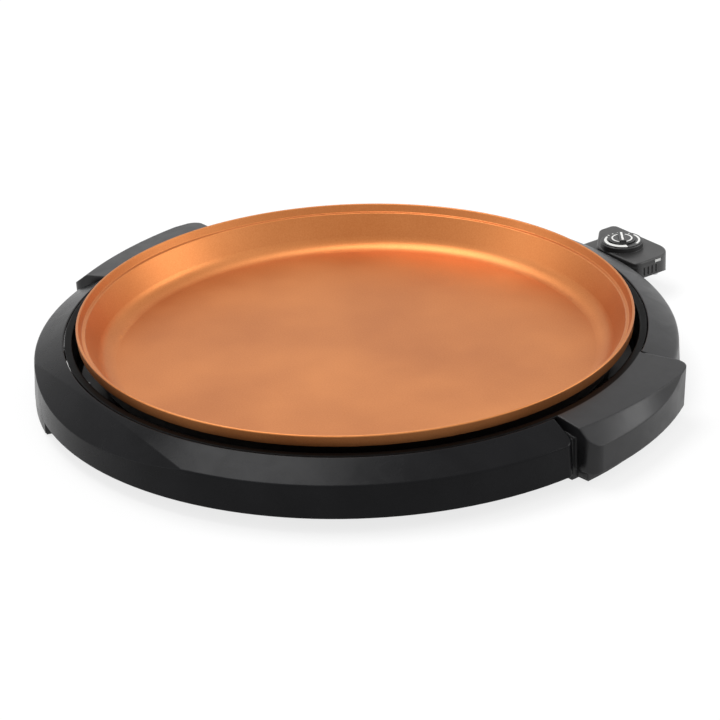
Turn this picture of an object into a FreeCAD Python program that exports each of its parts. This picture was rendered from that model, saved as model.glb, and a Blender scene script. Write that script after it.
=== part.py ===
import FreeCAD, Part
import math
import os
import re
import Sketcher

# Round electric grill pan: a deep-rimmed pan in a low ring base, with a plug-in dial control.
# Origin at the middle of the cooking surface, +Z up, +X across the ring towards the right handle,
# millimetres and degrees. The control plugs in along a radius at control_angle. Heights are written
# above the table; the last step lowers every sub-part by the height of the cooking surface.

doc = FreeCAD.newDocument("RoundGrillPan")
sheet = doc.addObject("Spreadsheet::Sheet", "Sizes")

DRIVING_SIZES = [
    ("rim_radius", 200, "pan: outer edge of the rim"),
    ("rim_inner_radius", 198.2, "pan: inner edge of the rim"),
    ("rim_height", 53.7, "pan: top of the rim above the table"),
    ("collar_depth", 5.6, "pan: rim top down to the lid ledge"),
    ("collar_foot_radius", 196, "pan: collar where it meets the ledge"),
    ("ledge_radius", 193.6, "pan: inner edge of the lid ledge"),
    ("wall_foot_radius", 181.5, "pan: sloping wall at floor level"),
    ("floor_height", 24, "pan: cooking surface above the table"),
    ("pan_wall", 3, "pan: wall and floor thickness"),
    ("floor_fillet", 14, "pan: radius between floor and wall"),
    ("ridge_depth", 2, "pan: ridges that centre the pan on the element"),
    ("ring_bore_radius", 203, "base ring: inside of its inner wall"),
    ("ring_wall", 2.5, "base ring: moulding thickness"),
    ("lip_height", 43.4, "base ring: top of the inner lip"),
    ("lip_radius", 208.5, "base ring: outer edge of the inner lip"),
    ("flange_bottom", 8, "base ring: underside of the inner flange"),
    ("flange_radius", 187, "base ring: inner edge of the flange"),
    ("skirt_bottom", 10, "covers and handles: lower edge"),
    ("cover_inner_radius", 209.2, "covers: edge beside the lip"),
    ("cover_top", 43.8, "covers: height beside the lip"),
    ("shoulder_radius", 231, "covers: outer edge of the top face"),
    ("shoulder_height", 33, "covers: height of that edge"),
    ("skirt_radius", 232.4, "covers: skirt at its lower edge"),
    ("cover_wall", 2.2, "covers: skirt thickness"),
    ("cover_end_wall", 1.0, "covers: closing wall at each end, in degrees"),
    ("front_cover_corner", 7, "front cover: plan radius of its ends"),
    ("rear_cover_corner", 2.5, "rear cover: plan radius of its ends"),
    ("front_gap", 1.1, "notch between front cover and handle, in degrees"),
    ("rear_gap", 0.2, "joint between rear cover and handle, in degrees"),
    ("facet_offset", 105, "facets: their cone's axis from the ring's axis"),
    ("facet_reach", 212.4, "facets: closest point of the crease to the ring's axis"),
    ("facet_slope", 0.85, "facets: fall per millimetre outward"),
    ("facet_sweep", 80, "facets: sweep about their cone's axis, in degrees"),
    ("front_facet_angle", 252.5, "direction of the front cover's facet"),
    ("rear_facet_angle", 56.5, "direction of the rear cover's facet"),
    ("handle_radius", 243.5, "handles: outer face"),
    ("handle_front_angle", 11.2, "handles: front end, short of the X axis"),
    ("handle_rear_angle", 20.5, "handles: rear end, past the X axis"),
    ("handle_rim_height", 39.6, "handles: top face at the outer edge before the facet"),
    ("handle_end_wall", 1.8, "handles: closing wall at each end, in degrees"),
    ("handle_corner", 9, "handles: plan radius of the outer corners"),
    ("crease_front_radius", 229, "handles: crease of the sloping edge at the front end"),
    ("crease_middle_radius", 233.8, "handles: that crease beside the X axis"),
    ("crease_rear_radius", 244.5, "handles: that crease where it runs out at the rear"),
    ("front_slope", 0.78, "handles: fall of the sloping edge per millimetre, front end"),
    ("middle_slope", 1.12, "handles: that fall beside the X axis"),
    ("rear_slope", 4, "handles: that fall at the rear"),
    ("handle_rib_spacing", 8, "handles: from one rib in the hollow to the next, in degrees"),
    ("handle_rib", 0.6, "handles: thickness of the ribs, in degrees"),
    ("leg_sweep", 16, "legs: length along the ring, in degrees"),
    ("leg_inner_radius", 219, "legs: inner face"),
    ("leg_outer_radius", 232.4, "legs: outer face, flush with the skirt"),
    ("pad_height", 2, "foot pads: thickness"),
    ("leg_angle", 50.5, "first leg, behind the right handle"),
    ("leg_angle_spacing", 127.5, "from the first leg to the next, anticlockwise"),
    ("fixing_circle", 216, "cover screws: radius of their circle"),
    ("front_outer_fixing", 60, "front cover: outer screws from its middle, in degrees"),
    ("front_inner_fixing", 22, "front cover: inner screws from its middle, in degrees"),
    ("rear_outer_fixing", 52, "rear cover: outer screws from its middle, in degrees"),
    ("rear_inner_fixing", 28, "rear cover: inner screws from its middle, in degrees"),
    ("tab_sweep", 3.4, "base ring: screw tabs under the covers, in degrees"),
    ("screw_boss_radius", 3.6, "covers: screw bosses"),
    ("screw_boss_height", 25.5, "covers: height of the screw bosses"),
    ("screw_boss_bore", 16, "covers: depth of the holes in those bosses"),
    ("control_angle", 75.2, "direction of the plug-in control"),
    ("terminal_height", 17.6, "element, terminal pins and probe: axis height"),
    ("element_radius", 3, "element: sheath radius"),
    ("element_loop_radius", 125, "element: centre line of the loop"),
    ("element_bend", 12, "element: bends into the cold ends"),
    ("terminal_offset", 20, "element ends and pins either side of the probe"),
    ("element_end", 195.5, "element ends from the ring's axis"),
    ("pin_radius", 2.4, "terminal pins"),
    ("pin_end", 227, "terminal pins' tips from the ring's axis"),
    ("probe_radius", 2.4, "sensing probe"),
    ("probe_tip", 168, "sensing probe's tip from the ring's axis"),
    ("sliding_gap", 0.05, "radial clearance of plug-in and turning fits"),
    ("reflector_floor", 9, "heat reflector: underside of its floor"),
    ("reflector_sheet", 0.8, "heat reflector and bottom plate: sheet thickness"),
    ("plate_rim_radius", 199, "heat reflector and bottom plate: outer edge"),
    ("plate_floor_radius", 177, "heat reflector and bottom plate: flat floor"),
    ("plate_dish_depth", 2, "bottom plate: depth of the dish"),
    ("base_screw_circle", 194, "base screws: radius of their circle"),
    ("bracket_sheet", 1.2, "stamped brackets: sheet thickness"),
    ("strip_width", 8, "element clips and guide saddle: width of the strip"),
    ("bracket_width", 72, "terminal bracket: width of its foot"),
    ("bracket_face", 198, "terminal bracket: face towards the window"),
    ("bracket_fixing", 31, "terminal bracket: screws either side of the probe"),
    ("screw_radius", 1.45, "base and cover screws: thread"),
    ("screw_clearance", 1.7, "screw holes that let the thread through"),
    ("screw_head_radius", 3.1, "base and cover screws: head"),
    ("screw_head_height", 1.8, "base and cover screws: height of the head"),
    ("small_screw_radius", 1.2, "bracket and case screws: thread"),
    ("small_head_radius", 2.5, "bracket and case screws: head"),
    ("small_head_height", 1.4, "bracket and case screws: height of the head"),
    ("support_radius", 158, "pan supports from the axis"),
    ("support_width", 16, "pan supports: width"),
    ("case_inner", 238.8, "control case: face beside the ring"),
    ("case_outer", 278.5, "control case: outer face"),
    ("case_half_width", 35, "control case: half its width"),
    ("case_bottom", 12, "control case: underside"),
    ("wing_start", 25, "control case: where its ends start to rise, from its middle"),
    ("wing_rise", 6, "control case: rise of the underside at its ends"),
    ("wing_fillet", 6, "control case: radius where that rise starts"),
    ("case_corner_cut", 24, "control case: cut across the corner beside the dial"),
    ("neck_half_width", 32, "control case: half the width of the low neck beside the ring"),
    ("neck_top", 25, "control case: top of that neck"),
    ("case_parting", 27.2, "control case: parting line"),
    ("case_top", 31, "control case: top of the wings"),
    ("case_wall", 1.8, "control case: wall thickness"),
    ("case_edge_radius", 1.4, "control case: rounding of its upper edge"),
    ("case_post_radius", 2.7, "control case: screw posts"),
    ("left_grooves", 22.4, "control case: first grip groove of the end with the short side"),
    ("right_grooves", 7.2, "control case: first grip groove of the end with the lamp window"),
    ("groove_pitch", 4, "control case: from one grip groove to the next"),
    ("groove_width", 1.5, "control case: width of a grip groove"),
    ("groove_depth", 0.7, "control case: depth of a grip groove"),
    ("groove_height", 6.4, "control case: height of a grip groove"),
    ("frame_width", 18, "thermostat frame: width"),
    ("rivet_radius", 1.6, "contact rivets"),
    ("dial_centre", 255.3, "dial axis from the ring's axis"),
    ("boss_top", 35.4, "control case: top of the dial boss"),
    ("dial_plate_radius", 15.3, "dial plate with the scale"),
    ("dial_plate_height", 0.6, "dial plate: thickness"),
    ("spindle_radius", 3, "dial spindle"),
    ("knob_radius", 10.4, "dial knob: flange"),
    ("knob_bottom", 36.3, "dial knob: underside of the flange"),
    ("knob_flange", 0.7, "dial knob: thickness of the flange"),
    ("knob_hub_radius", 9, "dial knob: hub"),
    ("knob_hub_top", 37.4, "dial knob: top of the hub"),
    ("grip_top", 38.8, "dial knob: top of the grip bar"),
    ("grip_half_length", 8.4, "dial knob: half the grip bar's length"),
    ("grip_half_width", 2.6, "dial knob: half the grip bar's width"),
    ("pointer_half_width", 0.8, "pointer strip: half its width"),
    ("pointer_height", 0.3, "pointer strip: height above the grip bar"),
    ("pointer_angle", 54, "dial knob: grip bar's rest direction from the control's radius"),
    ("lamp_centre", 260.6, "pilot lamp and its window from the ring's axis"),
    ("gland_offset", 16, "cord inlet from the middle of the case"),
    ("gland_height", 20.5, "cord inlet: height of its middle"),
    ("gland_radius", 4.5, "cord inlet: barrel"),
    ("gland_bore", 3.2, "cord inlet: hole"),
    ("nose_half_width", 24.8, "control nose: half its width"),
    ("window_margin", 4, "ring window: clearance on each side of the control nose"),
    ("nose_lip", 1.2, "control nose: lip behind the case wall"),
    ("nose_lip_depth", 2.6, "control nose: thickness of that lip"),
    ("nose_bottom", 13, "control nose: underside"),
    ("nose_top", 21.8, "control nose: top"),
    ("nose_tip", 213, "control nose: end that enters the window"),
]

for row, (alias, size, meaning) in enumerate(DRIVING_SIZES, start=1):
    sheet.set("A%d" % row, meaning)
    sheet.set("B%d" % row, str(size))
    sheet.setAlias("B%d" % row, alias)
doc.recompute()

ALIASES = {alias for alias, size, meaning in DRIVING_SIZES}
CLOSE = 0.05
reader = doc.addObject("App::FeaturePython", "Reader")
subparts = {}


def bound(formula):
    """The formula with each of the sheet's names written as a cell of the sheet."""
    return re.sub(r"[a-z_]+", lambda m: "Sizes." + m.group() if m.group() in ALIASES else m.group(),
                  str(formula))


def value(formula):
    """The number that a formula of the sheet's names gives."""
    return float(reader.evalExpression(bound(formula)))


def subpart(obj, label):
    """Registers a finished object as the sub-part that its label names."""
    obj.Label = label
    subparts[label] = obj
    return obj


def new_body(label, keep=True):
    body = doc.addObject("PartDesign::Body", label)
    if keep:
        subpart(body, label)
    return body


def turn(obj, angle):
    """Turns an object about the ring's axis, by a formula in degrees."""
    obj.Placement = FreeCAD.Placement(FreeCAD.Vector(), FreeCAD.Rotation(FreeCAD.Vector(0, 0, 1), 1))
    obj.setExpression("Placement.Rotation.Angle", bound(angle))
    return obj


def sketch_on(body, name, role, angle=None, lift=None):
    """A sketch on an origin plane, turned about the upright axis and lifted along its normal."""
    sketch = body.newObject("Sketcher::SketchObject", name)
    plane = [feature for feature in body.Origin.OriginFeatures if feature.Role == role][0]
    sketch.AttachmentSupport = [(plane, "")]
    sketch.MapMode = "FlatFace"
    if angle is not None:
        upright = FreeCAD.Vector(0, 0, 1) if role == "XY_Plane" else FreeCAD.Vector(0, 1, 0)
        sketch.AttachmentOffset = FreeCAD.Placement(FreeCAD.Vector(), FreeCAD.Rotation(upright, 1))
        sketch.setExpression("AttachmentOffset.Rotation.Angle", bound(angle))
    if lift is not None:
        sketch.setExpression("AttachmentOffset.Base.z", bound(lift))
    return sketch


def pin_point(sketch, geometry, end, across, up):
    """Holds one end of a sketch's line or arc at a place given by two formulas."""
    for kind, formula in (("DistanceX", across), ("DistanceY", up)):
        index = sketch.addConstraint(Sketcher.Constraint(kind, -1, 1, geometry, end, value(formula)))
        sketch.setExpression("Constraints[%d]" % index, bound(formula))


def outline(sketch, corners):
    """A closed outline of straight runs, each corner given by two formulas."""
    points = [FreeCAD.Vector(value(across), value(up), 0) for across, up in corners]
    first = sketch.GeometryCount
    count = len(points)
    for index in range(count):
        run = Part.LineSegment(points[index], points[(index + 1) % count])
        sketch.addGeometry(run, False)
    for index in range(count):
        following = first + (index + 1) % count
        sketch.addConstraint(Sketcher.Constraint("Coincident", first + index, 2, following, 1))
    for index, (across, up) in enumerate(corners):
        pin_point(sketch, first + index, 1, across, up)
    return sketch


def box_outline(sketch, low_x, high_x, low_y, high_y):
    return outline(sketch, [(low_x, low_y), (high_x, low_y), (high_x, high_y), (low_x, high_y)])


def circles(sketch, radius, centres):
    """Equal circles at centres given by pairs of formulas."""
    for across, up in centres:
        centre = FreeCAD.Vector(value(across), value(up), 0)
        circle = Part.Circle(centre, FreeCAD.Vector(0, 0, 1), value(radius))
        index = sketch.addGeometry(circle, False)
        pin_point(sketch, index, 3, across, up)
        size = sketch.addConstraint(Sketcher.Constraint("Radius", index, value(radius)))
        sketch.setExpression("Constraints[%d]" % size, bound(radius))
    return sketch


def on_circle(radius, angle):
    """Two formulas for the place at an angle on a circle about the origin."""
    return "(%s) * cos(%s)" % (radius, angle), "(%s) * sin(%s)" % (radius, angle)


def finish_feature(body, feature, removes):
    """Recomputes a feature and checks that it added or removed material."""
    before = feature.BaseFeature.Shape.Volume if feature.BaseFeature else 0
    doc.recompute()
    change = feature.Shape.Volume - before
    if abs(change) < 1e-3 or (change < 0) != removes:
        raise RuntimeError("%s in %s changed the volume by %.3f" % (feature.Name, body.Label, change))
    return feature


def revolve(body, sketch, sweep=None, removes=False, axis="V_Axis"):
    """Turns a sketch about its upright axis, all round or evenly each side of its plane."""
    kind = "PartDesign::Groove" if removes else "PartDesign::Revolution"
    feature = body.newObject(kind, sketch.Name + "Turned")
    feature.Profile = sketch
    feature.ReferenceAxis = (sketch, [axis])
    if sweep is not None:
        feature.Midplane = True
        feature.setExpression("Angle", bound(sweep))
    return finish_feature(body, feature, removes)


def extrude(body, sketch, length, removes=False, middle=False, back=False):
    """Pads or pockets a sketch; a pocket cuts against the sketch's normal unless back is set."""
    kind = "PartDesign::Pocket" if removes else "PartDesign::Pad"
    feature = body.newObject(kind, sketch.Name + "Extruded")
    feature.Profile = sketch
    feature.Midplane = middle
    feature.Reversed = back
    feature.setExpression("Length", bound(length))
    return finish_feature(body, feature, removes)


def edges_at(shape, wanted):
    """Names of the edges whose middle satisfies wanted(point, edge)."""
    names = []
    for index, edge in enumerate(shape.Edges, start=1):
        middle = edge.valueAt((edge.FirstParameter + edge.LastParameter) / 2)
        if wanted(middle, edge):
            names.append("Edge%d" % index)
    return names


def is_upright(edge):
    if len(edge.Vertexes) != 2:
        return False
    low, high = edge.Vertexes[0].Point, edge.Vertexes[1].Point
    return abs(low.x - high.x) < CLOSE and abs(low.y - high.y) < CLOSE


def ring_edges(radius, height):
    """A test for edges that run round the ring's axis at a radius and height."""
    wide, tall = value(radius), value(height)

    def test(middle, edge):
        reach = (middle.x ** 2 + middle.y ** 2) ** 0.5
        return abs(reach - wide) < CLOSE and abs(middle.z - tall) < CLOSE and not is_upright(edge)
    return test


def dress(body, wanted, size, kind="Fillet"):
    """Rounds or chamfers the edges of the body's tip that a test picks."""
    doc.recompute()
    base = body.Tip
    names = edges_at(base.Shape, wanted)
    if not names:
        raise RuntimeError("no edge to dress in " + body.Label)
    feature = body.newObject("PartDesign::" + kind, body.Label + kind)
    feature.Base = (base, names)
    feature.setExpression("Radius" if kind == "Fillet" else "Size", bound(size))
    doc.recompute()
    if "Invalid" in feature.State or feature.Shape.isNull():
        raise RuntimeError("%s of %s failed" % (kind, body.Label))
    return feature


def polar_copies(body, feature, sketch, count):
    """Repeats a feature round the sketch's normal."""
    pattern = body.newObject("PartDesign::PolarPattern", feature.Name + "Round")
    pattern.Originals = [feature]
    pattern.Axis = (sketch, ["N_Axis"])
    pattern.Angle = 360
    pattern.Occurrences = count
    body.Tip = pattern
    doc.recompute()
    if (pattern.Shape.Volume < feature.Shape.Volume) != (feature.TypeId == "PartDesign::Pocket"):
        raise RuntimeError("%s in %s is not a pattern" % (pattern.Name, body.Label))
    return pattern


def ring_sector(body, name, corners, angle, sweep, removes=False):
    """Turns an upright outline through a sweep whose middle stands at an angle."""
    sketch = outline(sketch_on(body, name, "XZ_Plane", angle=angle), corners)
    return revolve(body, sketch, sweep=sweep, removes=removes)


def primitive(kind, name, sizes, across=0, along=0, up=0, axis=None, tilt=0):
    """A Part primitive with its sizes and place bound to formulas."""
    obj = doc.addObject(kind, name)
    if axis is not None:
        obj.Placement = FreeCAD.Placement(FreeCAD.Vector(), FreeCAD.Rotation(FreeCAD.Vector(*axis), tilt))
    for property_name, formula in sizes.items():
        obj.setExpression(property_name, bound(formula))
    for letter, formula in zip("xyz", (across, along, up)):
        obj.setExpression("Placement.Base." + letter, bound(formula))
    return obj


def upright_rod(name, radius, bottom, top, across, along):
    return primitive("Part::Cylinder", name, {"Radius": radius, "Height": "(%s) - (%s)" % (top, bottom)},
                     across, along, bottom)


def level_rod(name, radius, start, end, along, up):
    """A rod that lies along the local X axis."""
    return primitive("Part::Cylinder", name, {"Radius": radius, "Height": "(%s) - (%s)" % (end, start)},
                     start, along, up, axis=(0, 1, 0), tilt=90)


def block(name, low_x, high_x, low_y, high_y, low_z, high_z):
    spans = {"Length": (low_x, high_x), "Width": (low_y, high_y), "Height": (low_z, high_z)}
    sizes = {key: "(%s) - (%s)" % (high, low) for key, (low, high) in spans.items()}
    return primitive("Part::Box", name, sizes, low_x, low_y, low_z)


def cut(name, base, tool):
    result = doc.addObject("Part::Cut", name)
    result.Base = base
    result.Tool = tool
    return result


def fuse(name, base, tool):
    result = doc.addObject("Part::Fuse", name)
    result.Base = base
    result.Tool = tool
    return result


def group(label, members):
    """One sub-part made of like solids that stay separate."""
    result = doc.addObject("Part::Compound", label)
    result.Links = members
    return subpart(result, label)


def at_control(obj, label=None):
    """Turns a sub-part modelled along X to the direction of the control."""
    turn(obj, "control_angle")
    return subpart(obj, label) if label else obj


# Pan: one profile turned round, with a flared rim collar over a narrow lid ledge
pan = new_body("pan")
pan_profile = outline(sketch_on(pan, "PanProfile", "XZ_Plane"), [
    ("0", "floor_height - pan_wall"),
    ("wall_foot_radius + pan_wall * 0.75", "floor_height - pan_wall"),
    ("ledge_radius + pan_wall", "rim_height - collar_depth - pan_wall"),
    ("rim_radius - 0.8", "rim_height - collar_depth - pan_wall + 0.6"),
    ("rim_radius", "rim_height"),
    ("rim_inner_radius", "rim_height"),
    ("collar_foot_radius", "rim_height - collar_depth"),
    ("ledge_radius", "rim_height - collar_depth"),
    ("wall_foot_radius", "floor_height"),
    ("0", "floor_height"),
])
revolve(pan, pan_profile)
dress(pan, ring_edges("wall_foot_radius", "floor_height"), "floor_fillet")
dress(pan, ring_edges("wall_foot_radius + pan_wall * 0.75", "floor_height - pan_wall"),
      "floor_fillet + pan_wall")
dress(pan, ring_edges("rim_radius", "rim_height"), "0.8")
dress(pan, ring_edges("rim_inner_radius", "rim_height"), "0.8")
dress(pan, ring_edges("ledge_radius", "rim_height - collar_depth"), "0.9")
dress(pan, ring_edges("collar_foot_radius", "rim_height - collar_depth"), "0.7")

# Two ridges under the pan straddle the element and centre the pan; they stop beside the socket
ridge_sketch = sketch_on(pan, "CentringRidges", "XZ_Plane")
for ridge_radius in ("element_loop_radius - 9", "element_loop_radius + 7"):
    box_outline(ridge_sketch, ridge_radius, ridge_radius + " + 2.4",
                "floor_height - pan_wall - ridge_depth", "floor_height - pan_wall + 0.5")
revolve(pan, ridge_sketch)
ridge_gap = sketch_on(pan, "RidgeGap", "XY_Plane", angle="control_angle", lift="floor_height - pan_wall")
box_outline(ridge_gap, "element_loop_radius - 12", "element_loop_radius + 14",
            "-terminal_offset - 14", "terminal_offset + 14")
extrude(pan, ridge_gap, "ridge_depth + 1", removes=True)

# Base ring: inner wall with lip and flange, handles, legs and screw tabs in one moulding
base_ring = new_body("base_ring")
ring_profile = outline(sketch_on(base_ring, "RingProfile", "XZ_Plane"), [
    ("flange_radius", "flange_bottom"),
    ("ring_bore_radius + ring_wall", "flange_bottom"),
    ("ring_bore_radius + ring_wall", "lip_height - ring_wall"),
    ("lip_radius", "lip_height - ring_wall"),
    ("lip_radius", "lip_height"),
    ("ring_bore_radius", "lip_height"),
    ("ring_bore_radius", "flange_bottom + ring_wall"),
    ("flange_radius", "flange_bottom + ring_wall"),
])
revolve(base_ring, ring_profile)
dress(base_ring, ring_edges("ring_bore_radius", "lip_height"), "1")

HANDLE_SWEEP = "handle_front_angle + handle_rear_angle"
RIGHT_HANDLE = "(handle_rear_angle - handle_front_angle) / 2"
HANDLES = {"Right": RIGHT_HANDLE, "Left": "180 - " + RIGHT_HANDLE}
for side, middle_angle in HANDLES.items():
    ring_sector(base_ring, side + "Handle", [
        ("ring_bore_radius + 0.5", "skirt_bottom"),
        ("handle_radius - 1.2", "skirt_bottom"),
        ("handle_radius", "handle_rim_height"),
        ("lip_radius", "lip_height"),
        ("ring_bore_radius + 0.5", "lip_height - 1"),
    ], middle_angle, HANDLE_SWEEP)


def handle_corner(middle, edge):
    """The outer corners of the handles, which lean in a little."""
    reach = (middle.x ** 2 + middle.y ** 2) ** 0.5
    tall = edge.BoundBox.ZLength > 20
    return tall and abs(reach - value("handle_radius - 0.6")) < 0.3


dress(base_ring, handle_corner, "handle_corner")

# A twisted facet breaks the outer edge of each handle: wide in front, it runs out at the rear
FACET_REACH = "(handle_radius + 10)"
TOP_FALL = "((lip_height - handle_rim_height) / (handle_radius - lip_radius))"
FACET_SECTIONS = [
    ("-handle_front_angle - 1.5", "crease_front_radius", "front_slope"),
    ("1", "crease_middle_radius", "middle_slope"),
    ("handle_rear_angle - 3.5", "crease_rear_radius", "rear_slope"),
]
for side, mirrored in (("Right", "%s"), ("Left", "180 - (%s)")):
    sections = []
    for place, crease, slope in FACET_SECTIONS:
        crease_height = "(lip_height - %s * (%s - lip_radius))" % (TOP_FALL, crease)
        section = sketch_on(base_ring, "%sFacetSection%d" % (side, len(sections)), "XZ_Plane",
                            angle=mirrored % place)
        sections.append(outline(section, [
            (crease, crease_height),
            (FACET_REACH, "%s - %s * (%s - %s)" % (crease_height, slope, FACET_REACH, crease)),
            (FACET_REACH, "lip_height + 8"),
            (crease, "lip_height + 8"),
        ]))
    facet = base_ring.newObject("PartDesign::SubtractiveLoft", side + "Facet")
    facet.Profile = sections[0]
    facet.Sections = sections[1:]
    finish_feature(base_ring, facet, True)

# Handles are hollow from below, with stiffening ribs across the hollow
HOLLOW_TOP = "lip_height - 15.2"
for side, middle_angle in HANDLES.items():
    hollow = [
        ("ring_bore_radius + ring_wall + 1", "flange_bottom - 1"),
        ("handle_radius - ring_wall - 1.2", "flange_bottom - 1"),
        ("handle_radius - ring_wall - 0.6", HOLLOW_TOP),
        ("crease_front_radius - 2", "lip_height - 6.8"),
        ("lip_radius", "lip_height - 4"),
        ("ring_bore_radius + ring_wall + 1", "lip_height - 4"),
    ]
    ring_sector(base_ring, side + "Hollow", hollow, middle_angle,
                HANDLE_SWEEP + " - 2 * handle_end_wall", removes=True)
    for rib, offset in enumerate(("- handle_rib_spacing", "", "+ handle_rib_spacing")):
        ring_sector(base_ring, "%sHandleRib%d" % (side, rib), [
            ("ring_bore_radius + ring_wall - 0.5", "case_parting"),
            ("handle_radius - ring_wall", "case_parting"),
            ("handle_radius - ring_wall", HOLLOW_TOP + " + 1"),
            ("crease_front_radius - 2", "lip_height - 6.3"),
            ("ring_bore_radius + ring_wall - 0.5", "lip_height - 3.5"),
        ], "%s %s" % (middle_angle, offset), "handle_rib")

# A web closes the notch behind each handle's front end
NOTCH_WEB = "handle_front_angle - 0.5 + (front_gap + 0.4) / 2"
for side, middle_angle in (("Right", "-(%s)" % NOTCH_WEB), ("Left", "180 + %s" % NOTCH_WEB)):
    ring_sector(base_ring, side + "NotchWeb", [
        ("ring_bore_radius + 0.5", "pad_height + 1"),
        ("leg_outer_radius - 6", "pad_height + 1"),
        ("leg_outer_radius - 6", "shoulder_height"),
        ("ring_bore_radius + 0.5", "lip_height - 8"),
    ], middle_angle, "front_gap + 0.4")

# Four legs stand on the ring, two behind each other on either side of its centre
LEG_ANGLES = ["leg_angle", "leg_angle + leg_angle_spacing", "leg_angle + 180",
              "leg_angle + leg_angle_spacing + 180"]
for index, angle in enumerate(LEG_ANGLES):
    ring_sector(base_ring, "Leg%d" % index, [
        ("ring_bore_radius + 0.5", "flange_bottom - 2"),
        ("leg_inner_radius", "flange_bottom - 2"),
        ("leg_inner_radius", "pad_height"),
        ("leg_outer_radius", "pad_height"),
        ("leg_outer_radius", "skirt_bottom"),
        ("ring_bore_radius + 0.5", "skirt_bottom"),
    ], angle, "leg_sweep")

FRONT_FIXINGS = ["270 - front_outer_fixing", "270 - front_inner_fixing",
                 "270 + front_inner_fixing", "270 + front_outer_fixing"]
REAR_FIXINGS = ["90 - rear_outer_fixing", "90 - rear_inner_fixing",
                "90 + rear_inner_fixing", "90 + rear_outer_fixing"]
for index, angle in enumerate(FRONT_FIXINGS + REAR_FIXINGS):
    ring_sector(base_ring, "ScrewTab%d" % index, [
        ("ring_bore_radius + 0.5", "flange_bottom"),
        ("fixing_circle + 6", "flange_bottom"),
        ("fixing_circle + 6", "skirt_bottom + 0.5"),
        ("ring_bore_radius + 0.5", "skirt_bottom + 0.5"),
    ], angle, "tab_sweep")

fixing_places = [on_circle("fixing_circle", angle) for angle in FRONT_FIXINGS + REAR_FIXINGS]
fixing_holes = sketch_on(base_ring, "FixingHoles", "XY_Plane", lift="skirt_bottom + 2")
circles(fixing_holes, "screw_clearance", fixing_places)
extrude(base_ring, fixing_holes, "6", removes=True)
BASE_SCREW_ANGLES = ["control_angle + %d" % (30 + 60 * index) for index in range(6)]
base_screw_places = [on_circle("base_screw_circle", angle) for angle in BASE_SCREW_ANGLES]
flange_holes = sketch_on(base_ring, "FlangeHoles", "XY_Plane", lift="flange_bottom + ring_wall + 1")
circles(flange_holes, "screw_radius + 0.05", base_screw_places)
extrude(base_ring, flange_holes, "ring_wall + 2", removes=True)
BRACKET_FIXINGS = [("base_screw_circle", "bracket_fixing"), ("base_screw_circle", "-bracket_fixing")]
bracket_holes = sketch_on(base_ring, "BracketHoles", "XY_Plane", angle="control_angle",
                          lift="flange_bottom + ring_wall + 1")
circles(bracket_holes, "small_screw_radius + 0.05", BRACKET_FIXINGS)
extrude(base_ring, bracket_holes, "ring_wall + 2", removes=True)
ring_window = sketch_on(base_ring, "RingWindow", "XY_Plane", angle="control_angle", lift="nose_top + 2")
box_outline(ring_window, "ring_bore_radius - 2", "ring_bore_radius + ring_wall + 2",
            "-nose_half_width - window_margin", "nose_half_width + window_margin")
extrude(base_ring, ring_window, "nose_top + 2 - flange_bottom - ring_wall", removes=True)


def sketch_axis(sketch, across):
    """An upright construction line to turn about, off the ring's axis."""
    place = value(across)
    line = Part.LineSegment(FreeCAD.Vector(place, 0, 0), FreeCAD.Vector(place, 50, 0))
    index = sketch.addGeometry(line, True)
    pin_point(sketch, index, 1, across, "0")
    pin_point(sketch, index, 2, across, "50")
    return "Axis0"


def make_cover(label, angle, sweep, corner, facet_angle, fixings):
    """Half of the outer ring: a hollow moulded arc with a sloping top and an off-centre facet."""
    body = new_body(label)
    ring_sector(body, label + "Solid", [
        ("cover_inner_radius", "skirt_bottom"),
        ("skirt_radius", "skirt_bottom"),
        ("shoulder_radius", "shoulder_height"),
        ("cover_inner_radius", "cover_top"),
    ], angle, sweep)
    dress(body, lambda middle, edge: edge.BoundBox.ZLength > 20 and
          (middle.x ** 2 + middle.y ** 2) ** 0.5 > value("shoulder_radius"), corner)
    dress(body, ring_edges("shoulder_radius", "shoulder_height"), "1.6")
    dress(body, ring_edges("cover_inner_radius", "cover_top"), "0.8")
    crease_height = "cover_top - (facet_reach - cover_inner_radius) * (cover_top - shoulder_height)" \
                    " / (shoulder_radius - cover_inner_radius)"
    facet_sketch = sketch_on(body, label + "Facet", "XZ_Plane", angle=facet_angle)
    outline(facet_sketch, [
        ("facet_reach", crease_height),
        ("handle_radius", "%s - facet_slope * (handle_radius - facet_reach)" % crease_height),
        ("handle_radius", "cover_top + 8"),
        ("facet_reach", "cover_top + 8"),
    ])
    axis = sketch_axis(facet_sketch, "-facet_offset")
    revolve(body, facet_sketch, sweep="facet_sweep", removes=True, axis=axis)
    ring_sector(body, label + "Hollow", [
        ("ring_bore_radius", "skirt_bottom - 1"),
        ("skirt_radius - cover_wall", "skirt_bottom - 1"),
        ("shoulder_radius - cover_wall", "case_parting"),
        ("facet_reach", "cover_top - 7"),
        ("ring_bore_radius", "cover_top - 4.5"),
    ], angle, "%s - 2 * cover_end_wall" % sweep, removes=True)
    bosses = sketch_on(body, label + "Bosses", "XY_Plane", lift="skirt_bottom + 0.5")
    circles(bosses, "screw_boss_radius", [on_circle("fixing_circle", place) for place in fixings])
    extrude(body, bosses, "screw_boss_height")
    boss_holes = sketch_on(body, label + "BossHoles", "XY_Plane", lift="skirt_bottom + 0.5")
    circles(boss_holes, "screw_radius + 0.05", [on_circle("fixing_circle", place) for place in fixings])
    extrude(body, boss_holes, "screw_boss_bore", removes=True, back=True)
    return body


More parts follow.
